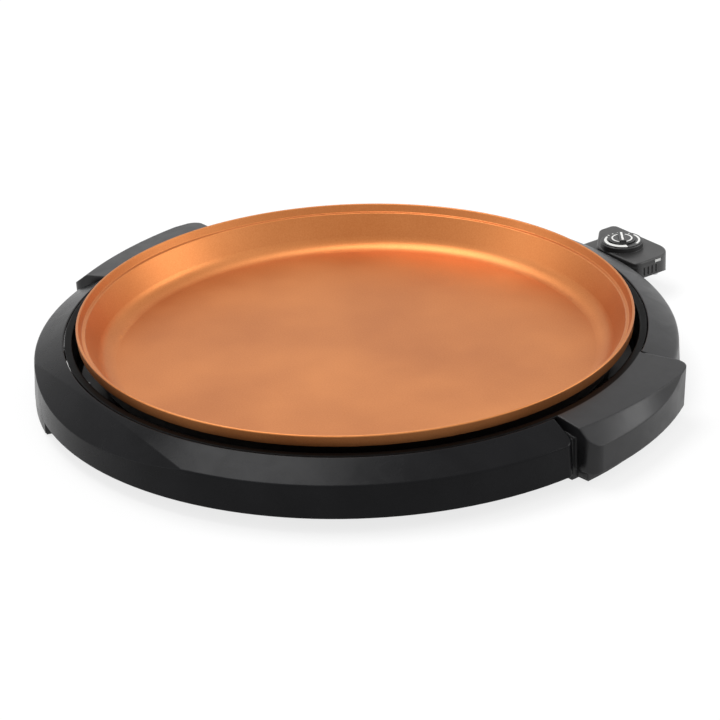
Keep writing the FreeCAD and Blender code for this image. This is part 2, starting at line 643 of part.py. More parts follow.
make_cover("front_cover", "270", "2 * (90 - handle_front_angle - front_gap)", "front_cover_corner",
           "front_facet_angle", FRONT_FIXINGS)
rear_cover = make_cover("rear_cover", "90", "2 * (90 - handle_rear_angle - rear_gap)", "rear_cover_corner",
                        "rear_facet_angle", REAR_FIXINGS)
cover_window = sketch_on(rear_cover, "CoverWindow", "XY_Plane", angle="control_angle", lift="nose_top + 2")
box_outline(cover_window, "shoulder_radius - 12", "skirt_radius + 3",
            "-nose_half_width - window_margin - 0.5", "nose_half_width + window_margin + 0.5")
extrude(rear_cover, cover_window, "nose_top + 4 - skirt_bottom", removes=True)

# Pressed sheets under the element: a bright reflector above the flange, a vented plate below it
heat_reflector = at_control(new_body("heat_reflector"))
reflector_profile = outline(sketch_on(heat_reflector, "ReflectorProfile", "XZ_Plane"), [
    ("0", "reflector_floor"),
    ("plate_floor_radius", "reflector_floor"),
    ("plate_floor_radius + 6", "flange_bottom + ring_wall"),
    ("plate_rim_radius", "flange_bottom + ring_wall"),
    ("plate_rim_radius", "flange_bottom + ring_wall + reflector_sheet"),
    ("plate_floor_radius + 5.6", "flange_bottom + ring_wall + reflector_sheet"),
    ("plate_floor_radius - 0.4", "reflector_floor + reflector_sheet"),
    ("0", "reflector_floor + reflector_sheet"),
])
revolve(heat_reflector, reflector_profile)

bottom_plate = at_control(new_body("bottom_plate"))
PLATE_FLOOR = "flange_bottom - reflector_sheet - plate_dish_depth"
plate_profile = outline(sketch_on(bottom_plate, "PlateProfile", "XZ_Plane"), [
    ("0", PLATE_FLOOR),
    ("plate_floor_radius", PLATE_FLOOR),
    ("plate_floor_radius + 6", "flange_bottom - reflector_sheet"),
    ("plate_rim_radius", "flange_bottom - reflector_sheet"),
    ("plate_rim_radius", "flange_bottom"),
    ("plate_floor_radius + 5.6", "flange_bottom"),
    ("plate_floor_radius - 0.4", PLATE_FLOOR + " + reflector_sheet"),
    ("0", PLATE_FLOOR + " + reflector_sheet"),
])
revolve(bottom_plate, plate_profile)
vent = sketch_on(bottom_plate, "Vent", "XY_Plane", lift="flange_bottom")
box_outline(vent, "80", "112", "-2.5", "2.5")
vent_cut = extrude(bottom_plate, vent, "flange_bottom", removes=True)
polar_copies(bottom_plate, vent_cut, vent, 12)
for body, name in ((heat_reflector, "ReflectorHole"), (bottom_plate, "PlateHole")):
    hole = sketch_on(body, name, "XY_Plane", angle="30", lift="case_bottom + 2")
    circles(hole, "screw_clearance", [("base_screw_circle", "0")])
    polar_copies(body, extrude(body, hole, "case_bottom", removes=True), hole, 6)

# Heating element: one open loop whose two cold ends run out side by side to the socket
heating_element = at_control(new_body("heating_element"))
element_path = sketch_on(heating_element, "ElementPath", "XY_Plane", lift="terminal_height")
BEND_CENTRE_Y = "(terminal_offset + element_bend)"
BEND_REACH = "(element_loop_radius + element_bend)"
BEND_CENTRE_X = "sqrt(%s ^ 2 - %s ^ 2)" % (BEND_REACH, BEND_CENTRE_Y)
bend_turn = math.asin(value(BEND_CENTRE_Y) / value(BEND_REACH))
bend_x, bend_y = value(BEND_CENTRE_X), value(BEND_CENTRE_Y)
lead_end, lead_y = value("element_end"), value("terminal_offset")


def path_arc(centre_x, centre_y, radius, start, end):
    circle = Part.Circle(FreeCAD.Vector(centre_x, centre_y, 0), FreeCAD.Vector(0, 0, 1), radius)
    return element_path.addGeometry(Part.ArcOfCircle(circle, start, end), False)


lead_in = element_path.addGeometry(Part.LineSegment(
    FreeCAD.Vector(lead_end, lead_y, 0), FreeCAD.Vector(bend_x, lead_y, 0)), False)
bend_in = path_arc(bend_x, bend_y, value("element_bend"), math.pi + bend_turn, 1.5 * math.pi)
loop = path_arc(0, 0, value("element_loop_radius"), bend_turn, 2 * math.pi - bend_turn)
bend_out = path_arc(bend_x, -bend_y, value("element_bend"), 0.5 * math.pi, math.pi - bend_turn)
lead_out = element_path.addGeometry(Part.LineSegment(
    FreeCAD.Vector(bend_x, -lead_y, 0), FreeCAD.Vector(lead_end, -lead_y, 0)), False)
START, END, CENTRE = 1, 2, 3
for first, first_end, second, second_end in (
        (lead_in, END, bend_in, END), (bend_in, START, loop, START),
        (loop, END, bend_out, END), (bend_out, START, lead_out, START)):
    element_path.addConstraint(Sketcher.Constraint("Tangent", first, first_end, second, second_end))
element_path.addConstraint(Sketcher.Constraint("Coincident", loop, CENTRE, -1, 1))
for arc, size in ((bend_in, "element_bend"), (loop, "element_loop_radius"), (bend_out, "element_bend")):
    index = element_path.addConstraint(Sketcher.Constraint("Radius", arc, value(size)))
    element_path.setExpression("Constraints[%d]" % index, bound(size))
for lead in (lead_in, lead_out):
    element_path.addConstraint(Sketcher.Constraint("Horizontal", lead))
pin_point(element_path, lead_in, START, "element_end", "terminal_offset")
pin_point(element_path, lead_out, END, "element_end", "-terminal_offset")
element_section = sketch_on(heating_element, "ElementSection", "YZ_Plane", lift="element_end")
circles(element_section, "element_radius", [("terminal_offset", "terminal_height")])
doc.recompute()
sheath = heating_element.newObject("PartDesign::AdditivePipe", "Sheath")
sheath.Profile = element_section
sheath.Spine = element_path
finish_feature(heating_element, sheath, False)

# Element clips: U-shaped saddles that stand on the reflector and hold the loop
SHEET_TOP = "reflector_floor + reflector_sheet"


def saddle(name, middle, half_gap, seat):
    """A bent strip with two feet and two upright ears either side of a round rod."""
    body = new_body(name, keep=False)
    sketch = sketch_on(body, name + "Profile", "XZ_Plane")
    half = [("foot", "low"), ("foot", "step"), ("outer", "step"), ("outer", "ear"), ("inner", "ear"),
            ("inner", "seat")]
    across = {"foot": "(%s + 6)" % half_gap, "outer": "(%s + bracket_sheet)" % half_gap,
              "inner": "(%s)" % half_gap}
    up = {"low": SHEET_TOP, "step": SHEET_TOP + " + bracket_sheet", "ear": "terminal_height + 1.6",
          "seat": seat}
    right = [("%s + %s" % (middle, across[a]), up[b]) for a, b in half]
    left = [("%s - %s" % (middle, across[a]), up[b]) for a, b in reversed(half)]
    outline(sketch, right + left)
    extrude(body, sketch, "strip_width", middle=True)
    return body


element_clips = []
for index in range(3):
    clip = saddle("ElementClip%d" % index, "element_loop_radius", "element_radius + 0.2",
                  "terminal_height - element_radius - 0.2")
    element_clips.append(turn(clip, "control_angle + %d" % (90 + 90 * index)))
group("element_clips", element_clips)

# Pan supports: Z-shaped brackets on the reflector whose flat tops carry the pan's floor
pan_supports = []
for index in range(4):
    bracket = new_body("PanSupport%d" % index, keep=False)
    profile = sketch_on(bracket, "SupportProfile%d" % index, "XZ_Plane")
    outline(profile, [
        ("support_radius - 12", SHEET_TOP),
        ("support_radius", SHEET_TOP),
        ("support_radius", "floor_height - pan_wall - bracket_sheet"),
        ("support_radius + 11", "floor_height - pan_wall - bracket_sheet"),
        ("support_radius + 11", "floor_height - pan_wall"),
        ("support_radius - bracket_sheet", "floor_height - pan_wall"),
        ("support_radius - bracket_sheet", SHEET_TOP + " + bracket_sheet"),
        ("support_radius - 12", SHEET_TOP + " + bracket_sheet"),
    ])
    extrude(bracket, profile, "support_width", middle=True)
    pan_supports.append(turn(bracket, "control_angle + %d" % (45 + 90 * index)))
group("pan_supports", pan_supports)

# Socket behind the window: stamped bracket, ceramic bushes, two pins and the earthed probe guide
terminal_bracket = at_control(new_body("terminal_bracket"))
BRACKET_FOOT = "flange_bottom + ring_wall + reflector_sheet"
bracket_profile = sketch_on(terminal_bracket, "BracketProfile", "XZ_Plane")
outline(bracket_profile, [
    ("bracket_face - 11", BRACKET_FOOT),
    ("bracket_face", BRACKET_FOOT),
    ("bracket_face", "nose_top + 2"),
    ("bracket_face - bracket_sheet", "nose_top + 2"),
    ("bracket_face - bracket_sheet", BRACKET_FOOT + " + bracket_sheet"),
    ("bracket_face - 11", BRACKET_FOOT + " + bracket_sheet"),
])
extrude(terminal_bracket, bracket_profile, "bracket_width", middle=True)
bracket_side = sketch_on(terminal_bracket, "BracketSide", "YZ_Plane", lift="ring_bore_radius")
EAR_EDGE = "nose_half_width + window_margin - 1"
for low, high in ((EAR_EDGE, "bracket_width"), ("-bracket_width", "-(%s)" % EAR_EDGE)):
    box_outline(bracket_side, low, high, BRACKET_FOOT + " + bracket_sheet + 1.5", "nose_top + 8")
extrude(terminal_bracket, bracket_side, "6", removes=True)
bush_holes = sketch_on(terminal_bracket, "BushHoles", "YZ_Plane", lift="ring_bore_radius")
circles(bush_holes, "element_radius + 1.6",
        [("terminal_offset", "terminal_height"), ("-terminal_offset", "terminal_height")])
circles(bush_holes, "element_radius + 0.05", [("0", "terminal_height")])
extrude(terminal_bracket, bush_holes, "8", removes=True)
foot_holes = sketch_on(terminal_bracket, "FootHoles", "XY_Plane", lift=BRACKET_FOOT + " + 3")
circles(foot_holes, "screw_clearance", BRACKET_FIXINGS)
extrude(terminal_bracket, foot_holes, "4", removes=True)
reflector_holes = sketch_on(heat_reflector, "ReflectorBracketHoles", "XY_Plane", lift="case_bottom + 2")
circles(reflector_holes, "screw_clearance", BRACKET_FIXINGS)
extrude(heat_reflector, reflector_holes, "case_bottom", removes=True)

SIDES = {"Left": "terminal_offset", "Right": "-terminal_offset"}
pins = []
bushes = []
sleeves = []
for side, offset in SIDES.items():
    pin = level_rod(side + "Pin", "pin_radius", "element_end", "pin_end - 2", offset, "terminal_height")
    tip = primitive("Part::Cone", side + "PinTip", {"Radius1": "pin_radius", "Radius2": "pin_radius - 1",
                                                    "Height": "2"},
                    "pin_end - 2", offset, "terminal_height", axis=(0, 1, 0), tilt=90)
    pins.append(fuse(side + "PinBody", pin, tip))
    barrel = level_rod(side + "Bush", "element_radius + 1.5", "element_end + 0.3", "ring_bore_radius + 3",
                       offset, "terminal_height")
    bore = level_rod(side + "BushBore", "pin_radius + sliding_gap", "element_end", "ring_bore_radius + 4",
                     offset, "terminal_height")
    bushes.append(cut(side + "BushBody", barrel, bore))
    sleeve = level_rod(side + "Sleeve", "pin_radius + 0.8", "nose_tip + 1", "case_inner + 6",
                       offset, "terminal_height")
    socket = level_rod(side + "SleeveBore", "pin_radius + sliding_gap", "nose_tip", "pin_end + 4",
                       offset, "terminal_height")
    sleeves.append(cut(side + "SleeveBody", sleeve, socket))
at_control(group("terminal_pins", pins))
at_control(group("terminal_insulators", bushes))
at_control(group("contact_sleeves", sleeves))

probe_guide = at_control(new_body("probe_guide"))
guide_section = sketch_on(probe_guide, "GuideSection", "YZ_Plane", lift="probe_tip - 10")
circles(guide_section, "element_radius", [("0", "terminal_height")])
circles(guide_section, "probe_radius + sliding_gap", [("0", "terminal_height")])
extrude(probe_guide, guide_section, "ring_bore_radius + 8 - probe_tip + 10")

guide_saddle = new_body("guide_saddle")
saddle_profile = sketch_on(guide_saddle, "SaddleProfile", "YZ_Plane", lift="probe_tip")
outline(saddle_profile, [
    ("-10", SHEET_TOP), ("10", SHEET_TOP), ("10", SHEET_TOP + " + bracket_sheet"),
    ("4.4", SHEET_TOP + " + bracket_sheet"), ("4.4", "terminal_height + 1.6"),
    ("element_radius + 0.1", "terminal_height + 1.6"),
    ("element_radius + 0.1", "terminal_height - element_radius - 0.1"),
    ("-element_radius - 0.1", "terminal_height - element_radius - 0.1"),
    ("-element_radius - 0.1", "terminal_height + 1.6"),
    ("-4.4", "terminal_height + 1.6"), ("-4.4", SHEET_TOP + " + bracket_sheet"),
    ("-10", SHEET_TOP + " + bracket_sheet"),
])
extrude(guide_saddle, saddle_profile, "strip_width")
at_control(guide_saddle)


def screw(name, across, along, seat, shank_end, small=False):
    """A pan-head screw from below: its head under the seat, its thread pointing up."""
    thread = "small_screw_radius" if small else "screw_radius"
    head_radius = "small_head_radius" if small else "screw_head_radius"
    head_height = "small_head_height" if small else "screw_head_height"
    head = upright_rod(name + "Head", head_radius, "%s - %s" % (seat, head_height), seat, across, along)
    shank = upright_rod(name + "Shank", thread, "%s - 0.5" % seat, shank_end, across, along)
    return fuse(name, head, shank)


base_screws = []
for index, (across, along) in enumerate(base_screw_places):
    base_screws.append(screw("BaseScrew%d" % index, across, along, "flange_bottom - reflector_sheet",
                             "flange_bottom + ring_wall + reflector_sheet + 1.2"))
group("base_screws", base_screws)

cover_screws = []
for index, (across, along) in enumerate(fixing_places):
    cover_screws.append(screw("CoverScrew%d" % index, across, along, "flange_bottom", "skirt_bottom + 13"))
group("cover_screws", cover_screws)

bracket_screws = []
for index, (across, along) in enumerate(BRACKET_FIXINGS):
    head = upright_rod("BracketHead%d" % index, "small_head_radius", BRACKET_FOOT + " + bracket_sheet",
                       BRACKET_FOOT + " + bracket_sheet + small_head_height", across, along)
    shank = upright_rod("BracketShank%d" % index, "small_screw_radius", "flange_bottom + 0.2",
                        BRACKET_FOOT + " + bracket_sheet + 0.5", across, along)
    bracket_screws.append(fuse("BracketScrew%d" % index, head, shank))
at_control(group("bracket_screws", bracket_screws))

# Rubber pads under the legs
foot_pads = []
for index, angle in enumerate(LEG_ANGLES):
    pad = new_body("FootPad%d" % index, keep=False)
    ring_sector(pad, "PadProfile%d" % index, [
        ("leg_inner_radius + 1.2", "0"), ("leg_outer_radius - 1.2", "0"),
        ("leg_outer_radius - 0.8", "pad_height"), ("leg_inner_radius + 0.8", "pad_height"),
    ], angle, "leg_sweep - 0.8")
    foot_pads.append(pad)
group("foot_pads", foot_pads)

# Control case: two moulded shells with rounded ends, a dial boss and grip ribs
CASE_PLAN = [
    ("case_outer", "case_half_width", "5"),
    ("case_inner + case_corner_cut", "case_half_width", "8"),
    ("case_inner", "case_half_width - case_corner_cut", "8"),
    ("case_inner", "-case_half_width", "6"),
    ("case_outer", "-case_half_width", "17"),
]


def round_case_corners(body):
    """Rounds the upright corners of the case, each by its own radius."""
    for across, along, radius in CASE_PLAN:
        corner_x, corner_y = value(across), value(along)
        dress(body, lambda middle, edge: is_upright(edge) and abs(middle.x - corner_x) < CLOSE and
              abs(middle.y - corner_y) < CLOSE, radius)


def hollow_out(body, open_height):
    """Leaves a wall all round and opens the face at a height."""
    doc.recompute()
    base = body.Tip
    level = value(open_height)
    faces = ["Face%d" % index for index, face in enumerate(base.Shape.Faces, start=1)
             if face.BoundBox.ZLength < CLOSE and abs(face.BoundBox.ZMin - level) < CLOSE]
    feature = body.newObject("PartDesign::Thickness", body.Label + "Hollow")
    feature.Base = (base, faces)
    feature.setExpression("Value", bound("case_wall"))
    feature.Mode = 0
    feature.Join = 1
    feature.Reversed = True
    return finish_feature(body, feature, True)


def case_solid(body, bottom, top):
    plan = sketch_on(body, body.Label + "Plan", "XY_Plane", lift=bottom)
    outline(plan, [(across, along) for across, along, radius in CASE_PLAN])
    extrude(body, plan, "%s - %s" % (top, bottom))
    round_case_corners(body)


CASE_SCREWS = [("case_outer - 7.6", "wing_start - 3.2"), ("case_outer - 9", "3.2 - wing_start"),
               ("case_inner + 19", "wing_start - 4"), ("case_inner + 11", "3.2 - wing_start")]
control_lower_shell = new_body("control_lower_shell")
case_solid(control_lower_shell, "case_bottom", "case_parting")
neck_plan = sketch_on(control_lower_shell, "NeckPlan", "XY_Plane", lift="case_bottom")
box_outline(neck_plan, "case_inner", "case_inner + case_corner_cut", "0", "neck_half_width")
extrude(control_lower_shell, neck_plan, "neck_top - case_bottom")
WING_SLOPE = "wing_rise / (case_half_width - wing_start)"
for side, sign in (("Left", ""), ("Right", "-")):
    wing = sketch_on(control_lower_shell, side + "WingUnderside", "YZ_Plane", lift="case_outer + 1")
    outline(wing, [
        (sign + "wing_start", "case_bottom"),
        (sign + "(case_half_width + 1)", "case_bottom"),
        (sign + "(case_half_width + 1)",
         "case_bottom + (case_half_width + 1 - wing_start) * " + WING_SLOPE),
    ])
    extrude(control_lower_shell, wing, "case_outer - case_inner + 2", removes=True)
dress(control_lower_shell, lambda middle, edge: abs(middle.z - value("case_bottom")) < CLOSE and
      abs(middle.y) > value("wing_start - 1") and edge.Length > 20, "wing_fillet")
hollow_out(control_lower_shell, "case_parting")
for side, sign in (("Left", ""), ("Right", "-")):
    ribs = sketch_on(control_lower_shell, side + "GripGrooves", "XY_Plane", lift="case_parting - 1.2")
    for groove in range(4):
        start = "case_inner + %s_grooves + %d * groove_pitch" % (side.lower(), groove)
        near, far = sign + "(case_half_width - groove_depth)", sign + "(case_half_width + 1)"
        box_outline(ribs, start, start + " + groove_width", near, far)
    extrude(control_lower_shell, ribs, "groove_height", removes=True)
nose_window = sketch_on(control_lower_shell, "NoseWindow", "YZ_Plane", lift="case_inner + 3")
box_outline(nose_window, "-nose_half_width - 0.1", "nose_half_width + 0.1",
            "nose_bottom - 0.1", "nose_top + 0.1")
extrude(control_lower_shell, nose_window, "8", removes=True)
gland_hole = sketch_on(control_lower_shell, "GlandHole", "YZ_Plane", lift="case_outer + 3")
circles(gland_hole, "gland_radius + 0.1", [("gland_offset", "gland_height")])
extrude(control_lower_shell, gland_hole, "8", removes=True)
floor_holes = sketch_on(control_lower_shell, "FloorHoles", "XY_Plane", lift="case_bottom + 4")
circles(floor_holes, "small_screw_radius + 0.3", CASE_SCREWS)
extrude(control_lower_shell, floor_holes, "6", removes=True)
at_control(control_lower_shell)

control_upper_shell = new_body("control_upper_shell")
case_solid(control_upper_shell, "case_parting", "case_top")
hollow_out(control_upper_shell, "case_parting")
dress(control_upper_shell, lambda middle, edge: abs(middle.z - value("case_top")) < CLOSE,
      "case_edge_radius")
boss_plan = sketch_on(control_upper_shell, "BossPlan", "XY_Plane", lift="case_top - case_edge_radius")
circles(boss_plan, "dial_plate_radius + 1", [("dial_centre", "0")])
extrude(control_upper_shell, boss_plan, "boss_top - case_top + case_edge_radius")
dress(control_upper_shell, lambda middle, edge: abs(middle.z - value("boss_top")) < CLOSE, "0.8")
spindle_hole = sketch_on(control_upper_shell, "SpindleHole", "XY_Plane", lift="boss_top + 1")
circles(spindle_hole, "spindle_radius + 0.4", [("dial_centre", "0")])
extrude(control_upper_shell, spindle_hole, "12", removes=True)
screw_posts = sketch_on(control_upper_shell, "ScrewPosts", "XY_Plane", lift="case_bottom + case_wall + 0.1")
circles(screw_posts, "case_post_radius", CASE_SCREWS)
extrude(control_upper_shell, screw_posts, "case_top - case_bottom - case_wall - 1")
post_holes = sketch_on(control_upper_shell, "PostHoles", "XY_Plane", lift="case_bottom")
circles(post_holes, "small_screw_radius + 0.05", CASE_SCREWS)
extrude(control_upper_shell, post_holes, "14", removes=True, back=True)
lamp_window = sketch_on(control_upper_shell, "LampWindow", "XY_Plane", lift="case_parting + 2.5")
box_outline(lamp_window, "lamp_centre - 3", "lamp_centre + 3",
            "-case_half_width - 1", "-case_half_width + 3")
extrude(control_upper_shell, lamp_window, "2.1", removes=True)
at_control(control_upper_shell)

lamp_lens = block("LampLens", "lamp_centre - 2.9", "lamp_centre + 2.9", "-case_half_width - 0.2",
                  "-case_half_width + case_wall", "case_parting + 0.5", "case_parting + 2.5")
at_control(group("lamp_lens", [lamp_lens]))
pilot_lamp = primitive("Part::Cylinder", "PilotLamp", {"Radius": "2.1", "Height": "8"}, "lamp_centre",
                       "-case_half_width + case_wall + 8.4", "case_parting - 1.2", axis=(1, 0, 0), tilt=90)
at_control(group("pilot_lamp", [pilot_lamp]))

control_nose = new_body("control_nose")
nose_plan = sketch_on(control_nose, "NosePlan", "YZ_Plane", lift="nose_tip")
box_outline(nose_plan, "-nose_half_width", "nose_half_width", "nose_bottom", "nose_top")
extrude(control_nose, nose_plan, "case_inner + case_wall + 0.2 - nose_tip")
dress(control_nose, lambda middle, edge: middle.x < value("nose_tip") + CLOSE, "1", kind="Chamfer")
nose_flange = sketch_on(control_nose, "NoseFlange", "YZ_Plane", lift="case_inner + case_wall + 0.1")
box_outline(nose_flange, "-nose_half_width - nose_lip", "nose_half_width + nose_lip",
            "nose_bottom + 2.2", "nose_top + 1")
extrude(control_nose, nose_flange, "nose_lip_depth")
nose_holes = sketch_on(control_nose, "NoseHoles", "YZ_Plane", lift="case_inner + 6")
circles(nose_holes, "pin_radius + 0.85", [(offset, "terminal_height") for offset in SIDES.values()])
circles(nose_holes, "probe_radius + sliding_gap", [("0", "terminal_height")])
extrude(control_nose, nose_holes, "40", removes=True)
at_control(control_nose)

probe_rod = level_rod("ProbeRod", "probe_radius", "probe_tip", "case_inner + 6", "0", "terminal_height")
probe_end = primitive("Part::Sphere", "ProbeEnd", {"Radius": "probe_radius"}, "probe_tip", "0",
                      "terminal_height")
at_control(fuse("ProbeTube", probe_rod, probe_end), "probe_tube")

# Inside the case: channel frame, insulating block, two leaf contacts and their rivets
thermostat_frame = new_body("thermostat_frame")
frame_profile = sketch_on(thermostat_frame, "FrameProfile", "XZ_Plane")
FRAME_X, FRAME_END = "case_inner + 7", "case_outer - 8"
FRAME_LOW, FRAME_HIGH = "case_bottom + case_wall + 0.2", "case_top - case_wall - 0.8"
outline(frame_profile, [
    (FRAME_X, FRAME_LOW), (FRAME_END, FRAME_LOW), (FRAME_END, FRAME_LOW + " + bracket_sheet"),
    (FRAME_X + " + bracket_sheet", FRAME_LOW + " + bracket_sheet"),
    (FRAME_X + " + bracket_sheet", FRAME_HIGH + " - bracket_sheet"),
    (FRAME_END, FRAME_HIGH + " - bracket_sheet"), (FRAME_END, FRAME_HIGH), (FRAME_X, FRAME_HIGH),
])
extrude(thermostat_frame, frame_profile, "frame_width", middle=True)
frame_hole = sketch_on(thermostat_frame, "FrameHole", "XY_Plane", lift="case_top")
circles(frame_hole, "spindle_radius + sliding_gap", [("dial_centre", "0")])
extrude(thermostat_frame, frame_hole, "8", removes=True)
at_control(thermostat_frame)

arm_block = block("ArmBlock", "case_outer - 16", "case_outer - 8.5", "-7", "7",
                  FRAME_LOW + " + bracket_sheet", "case_bottom + 11")
at_control(group("arm_block", [arm_block]))
arms = []
rivets = []
for name, arm, rivet, rivet_end in (
        ("Lower", "case_bottom + 5", "case_bottom + 5.5", "case_bottom + 6.4"),
        ("Upper", "case_bottom + 8", "case_bottom + 7", "case_bottom + 8")):
    arms.append(block(name + "Arm", "case_inner + 11", "case_outer - 16", "-3", "3", arm, arm + " + 0.5"))
    rivets.append(upright_rod(name + "Rivet", "rivet_radius", rivet, rivet_end, "case_inner + 13.5", "0"))
at_control(group("contact_arms", arms))
at_control(group("contact_rivets", rivets))

cord_gland = new_body("cord_gland")
gland_profile = sketch_on(cord_gland, "GlandBarrel", "YZ_Plane", lift="case_outer - case_wall - 2.4")
circles(gland_profile, "gland_radius", [("gland_offset", "gland_height")])
circles(gland_profile, "gland_bore", [("gland_offset", "gland_height")])
extrude(cord_gland, gland_profile, "case_wall + 2.6")
for name, start in (("GlandFlange", "case_outer + 0.1"), ("GlandCollar", "case_outer - case_wall - 2")):
    collar = sketch_on(cord_gland, name, "YZ_Plane", lift=start)
    circles(collar, "gland_radius + 1.3", [("gland_offset", "gland_height")])
    circles(collar, "gland_bore", [("gland_offset", "gland_height")])
    extrude(cord_gland, collar, "1.8")
at_control(cord_gland)

case_screws = []
for index, (across, along) in enumerate(CASE_SCREWS):
    case_screws.append(screw("CaseScrew%d" % index, across, along, "case_bottom", "case_bottom + 12",
                             small=True))
at_control(group("case_screws", case_screws))

# Dial: fixed scale plate, turning knob with its grip bar, pointer strip, spindle and clip
plate_disc = upright_rod("DialPlateDisc", "dial_plate_radius", "boss_top", "boss_top + dial_plate_height",
                         "dial_centre", "0")
plate_hole = upright_rod("DialPlateHole", "spindle_radius + 0.4", "boss_top - 1", "boss_top + 2",
                         "dial_centre", "0")
at_control(cut("DialPlate", plate_disc, plate_hole), "dial_plate")

dial_knob = new_body("dial_knob")
knob_plan = sketch_on(dial_knob, "KnobFlange", "XY_Plane", lift="knob_bottom")
circles(knob_plan, "knob_radius", [("dial_centre", "0")])
extrude(dial_knob, knob_plan, "knob_flange")
hub_plan = sketch_on(dial_knob, "KnobHub", "XY_Plane", lift="knob_bottom + 0.3")
circles(hub_plan, "knob_hub_radius", [("dial_centre", "0")])
extrude(dial_knob, hub_plan, "knob_hub_top - knob_bottom - 0.3")
dress(dial_knob, lambda middle, edge: abs(middle.z - value("knob_hub_top")) < CLOSE, "0.3")


def on_dial(body, name, lift):
    """A level sketch on the dial's axis, turned to the grip bar's rest direction."""
    sketch = sketch_on(body, name, "XY_Plane", angle="pointer_angle", lift=lift)
    sketch.setExpression("AttachmentOffset.Base.x", bound("dial_centre"))
    return sketch


grip_plan = on_dial(dial_knob, "GripBar", "knob_hub_top - 0.5")
box_outline(grip_plan, "-grip_half_length", "grip_half_length", "-grip_half_width", "grip_half_width")
extrude(dial_knob, grip_plan, "grip_top - knob_hub_top + 0.5")
dress(dial_knob, lambda middle, edge: abs(middle.z - value("grip_top")) < CLOSE, "0.5")
at_control(dial_knob)
knob_pointer = new_body("knob_pointer")
pointer_plan = on_dial(knob_pointer, "PointerStrip", "grip_top")
box_outline(pointer_plan, "1 - grip_half_length", "grip_half_length - 1",
            "-pointer_half_width", "pointer_half_width")
extrude(knob_pointer, pointer_plan, "pointer_height")
at_control(knob_pointer)

spindle_rod = upright_rod("SpindleRod", "spindle_radius", "case_bottom + 9", "knob_bottom",
                          "dial_centre", "0")
spindle_cam = upright_rod("SpindleCam", "spindle_radius + 2.6", "case_bottom + 9", "case_bottom + 10.5",
                          "dial_centre + 0.8", "0")
at_control(fuse("DialSpindle", spindle_rod, spindle_cam), "dial_spindle")
clip_disc = upright_rod("ClipDisc", "spindle_radius + 1.8", "case_top - 5.2", "case_top - 4.4",
                        "dial_centre", "0")
clip_hole = upright_rod("ClipHole", "spindle_radius + 0.02", "case_top - 6", "case_top - 4",
                        "dial_centre", "0")
at_control(cut("SpindleClip", clip_disc, clip_hole), "spindle_clip")

for obj in subparts.values():
    obj.setExpression("Placement.Base.z", bound("-floor_height"))
doc.recompute()
for obj in doc.Objects:
    if "Invalid" in obj.State or "Error" in obj.State:
        raise RuntimeError("%s (%s) failed to build" % (obj.Name, obj.Label))
for label, obj in subparts.items():
    if obj.Shape.isNull() or not obj.Shape.isValid() or not obj.Shape.Solids:
        raise RuntimeError("%s has no valid solid" % label)

os.makedirs("parts", exist_ok=True)
for label, obj in subparts.items():
    obj.Shape.exportStep("parts/%s.step" % label)
    size = obj.Shape.BoundBox
    print("%-22s %2d solid(s) %9.0f mm3  x %6.1f..%6.1f  y %6.1f..%6.1f  z %5.1f..%5.1f" % (
        label, len(obj.Shape.Solids), obj.Shape.Volume,
        size.XMin, size.XMax, size.YMin, size.YMax, size.ZMin, size.ZMax))
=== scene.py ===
import math
import bmesh
import bpy
from mathutils import Matrix, Vector


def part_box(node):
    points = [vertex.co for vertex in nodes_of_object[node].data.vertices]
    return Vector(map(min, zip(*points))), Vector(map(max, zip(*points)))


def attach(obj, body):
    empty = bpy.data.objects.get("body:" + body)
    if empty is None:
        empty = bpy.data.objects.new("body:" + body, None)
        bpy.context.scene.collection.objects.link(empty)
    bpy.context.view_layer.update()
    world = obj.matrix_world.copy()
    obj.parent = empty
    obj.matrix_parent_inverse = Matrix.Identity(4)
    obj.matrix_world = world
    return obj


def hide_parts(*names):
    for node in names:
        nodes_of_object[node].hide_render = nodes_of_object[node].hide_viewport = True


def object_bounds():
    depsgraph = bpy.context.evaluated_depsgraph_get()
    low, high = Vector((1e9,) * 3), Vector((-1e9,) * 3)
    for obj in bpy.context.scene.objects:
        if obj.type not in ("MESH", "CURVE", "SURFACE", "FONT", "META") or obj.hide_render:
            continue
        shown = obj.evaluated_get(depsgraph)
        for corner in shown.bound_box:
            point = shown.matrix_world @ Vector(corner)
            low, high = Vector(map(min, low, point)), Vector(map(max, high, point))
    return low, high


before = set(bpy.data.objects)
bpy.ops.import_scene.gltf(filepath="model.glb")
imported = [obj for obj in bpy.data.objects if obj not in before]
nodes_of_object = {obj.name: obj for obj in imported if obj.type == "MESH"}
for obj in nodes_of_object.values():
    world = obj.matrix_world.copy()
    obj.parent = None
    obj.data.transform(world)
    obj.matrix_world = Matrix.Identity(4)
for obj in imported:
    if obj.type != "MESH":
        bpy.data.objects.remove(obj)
cad_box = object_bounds()
bpy.context.scene.view_settings.view_transform = "Standard"
TABLE = cad_box[0][2]

# Base ring: the carrier of the whole grill, one moulding of heat-resistant black phenolic.
# Inner wall, lip, flange, both handles and the legs come out of one mould, with a semi-gloss
# skin that shows a faint sink ripple and a very fine grain.


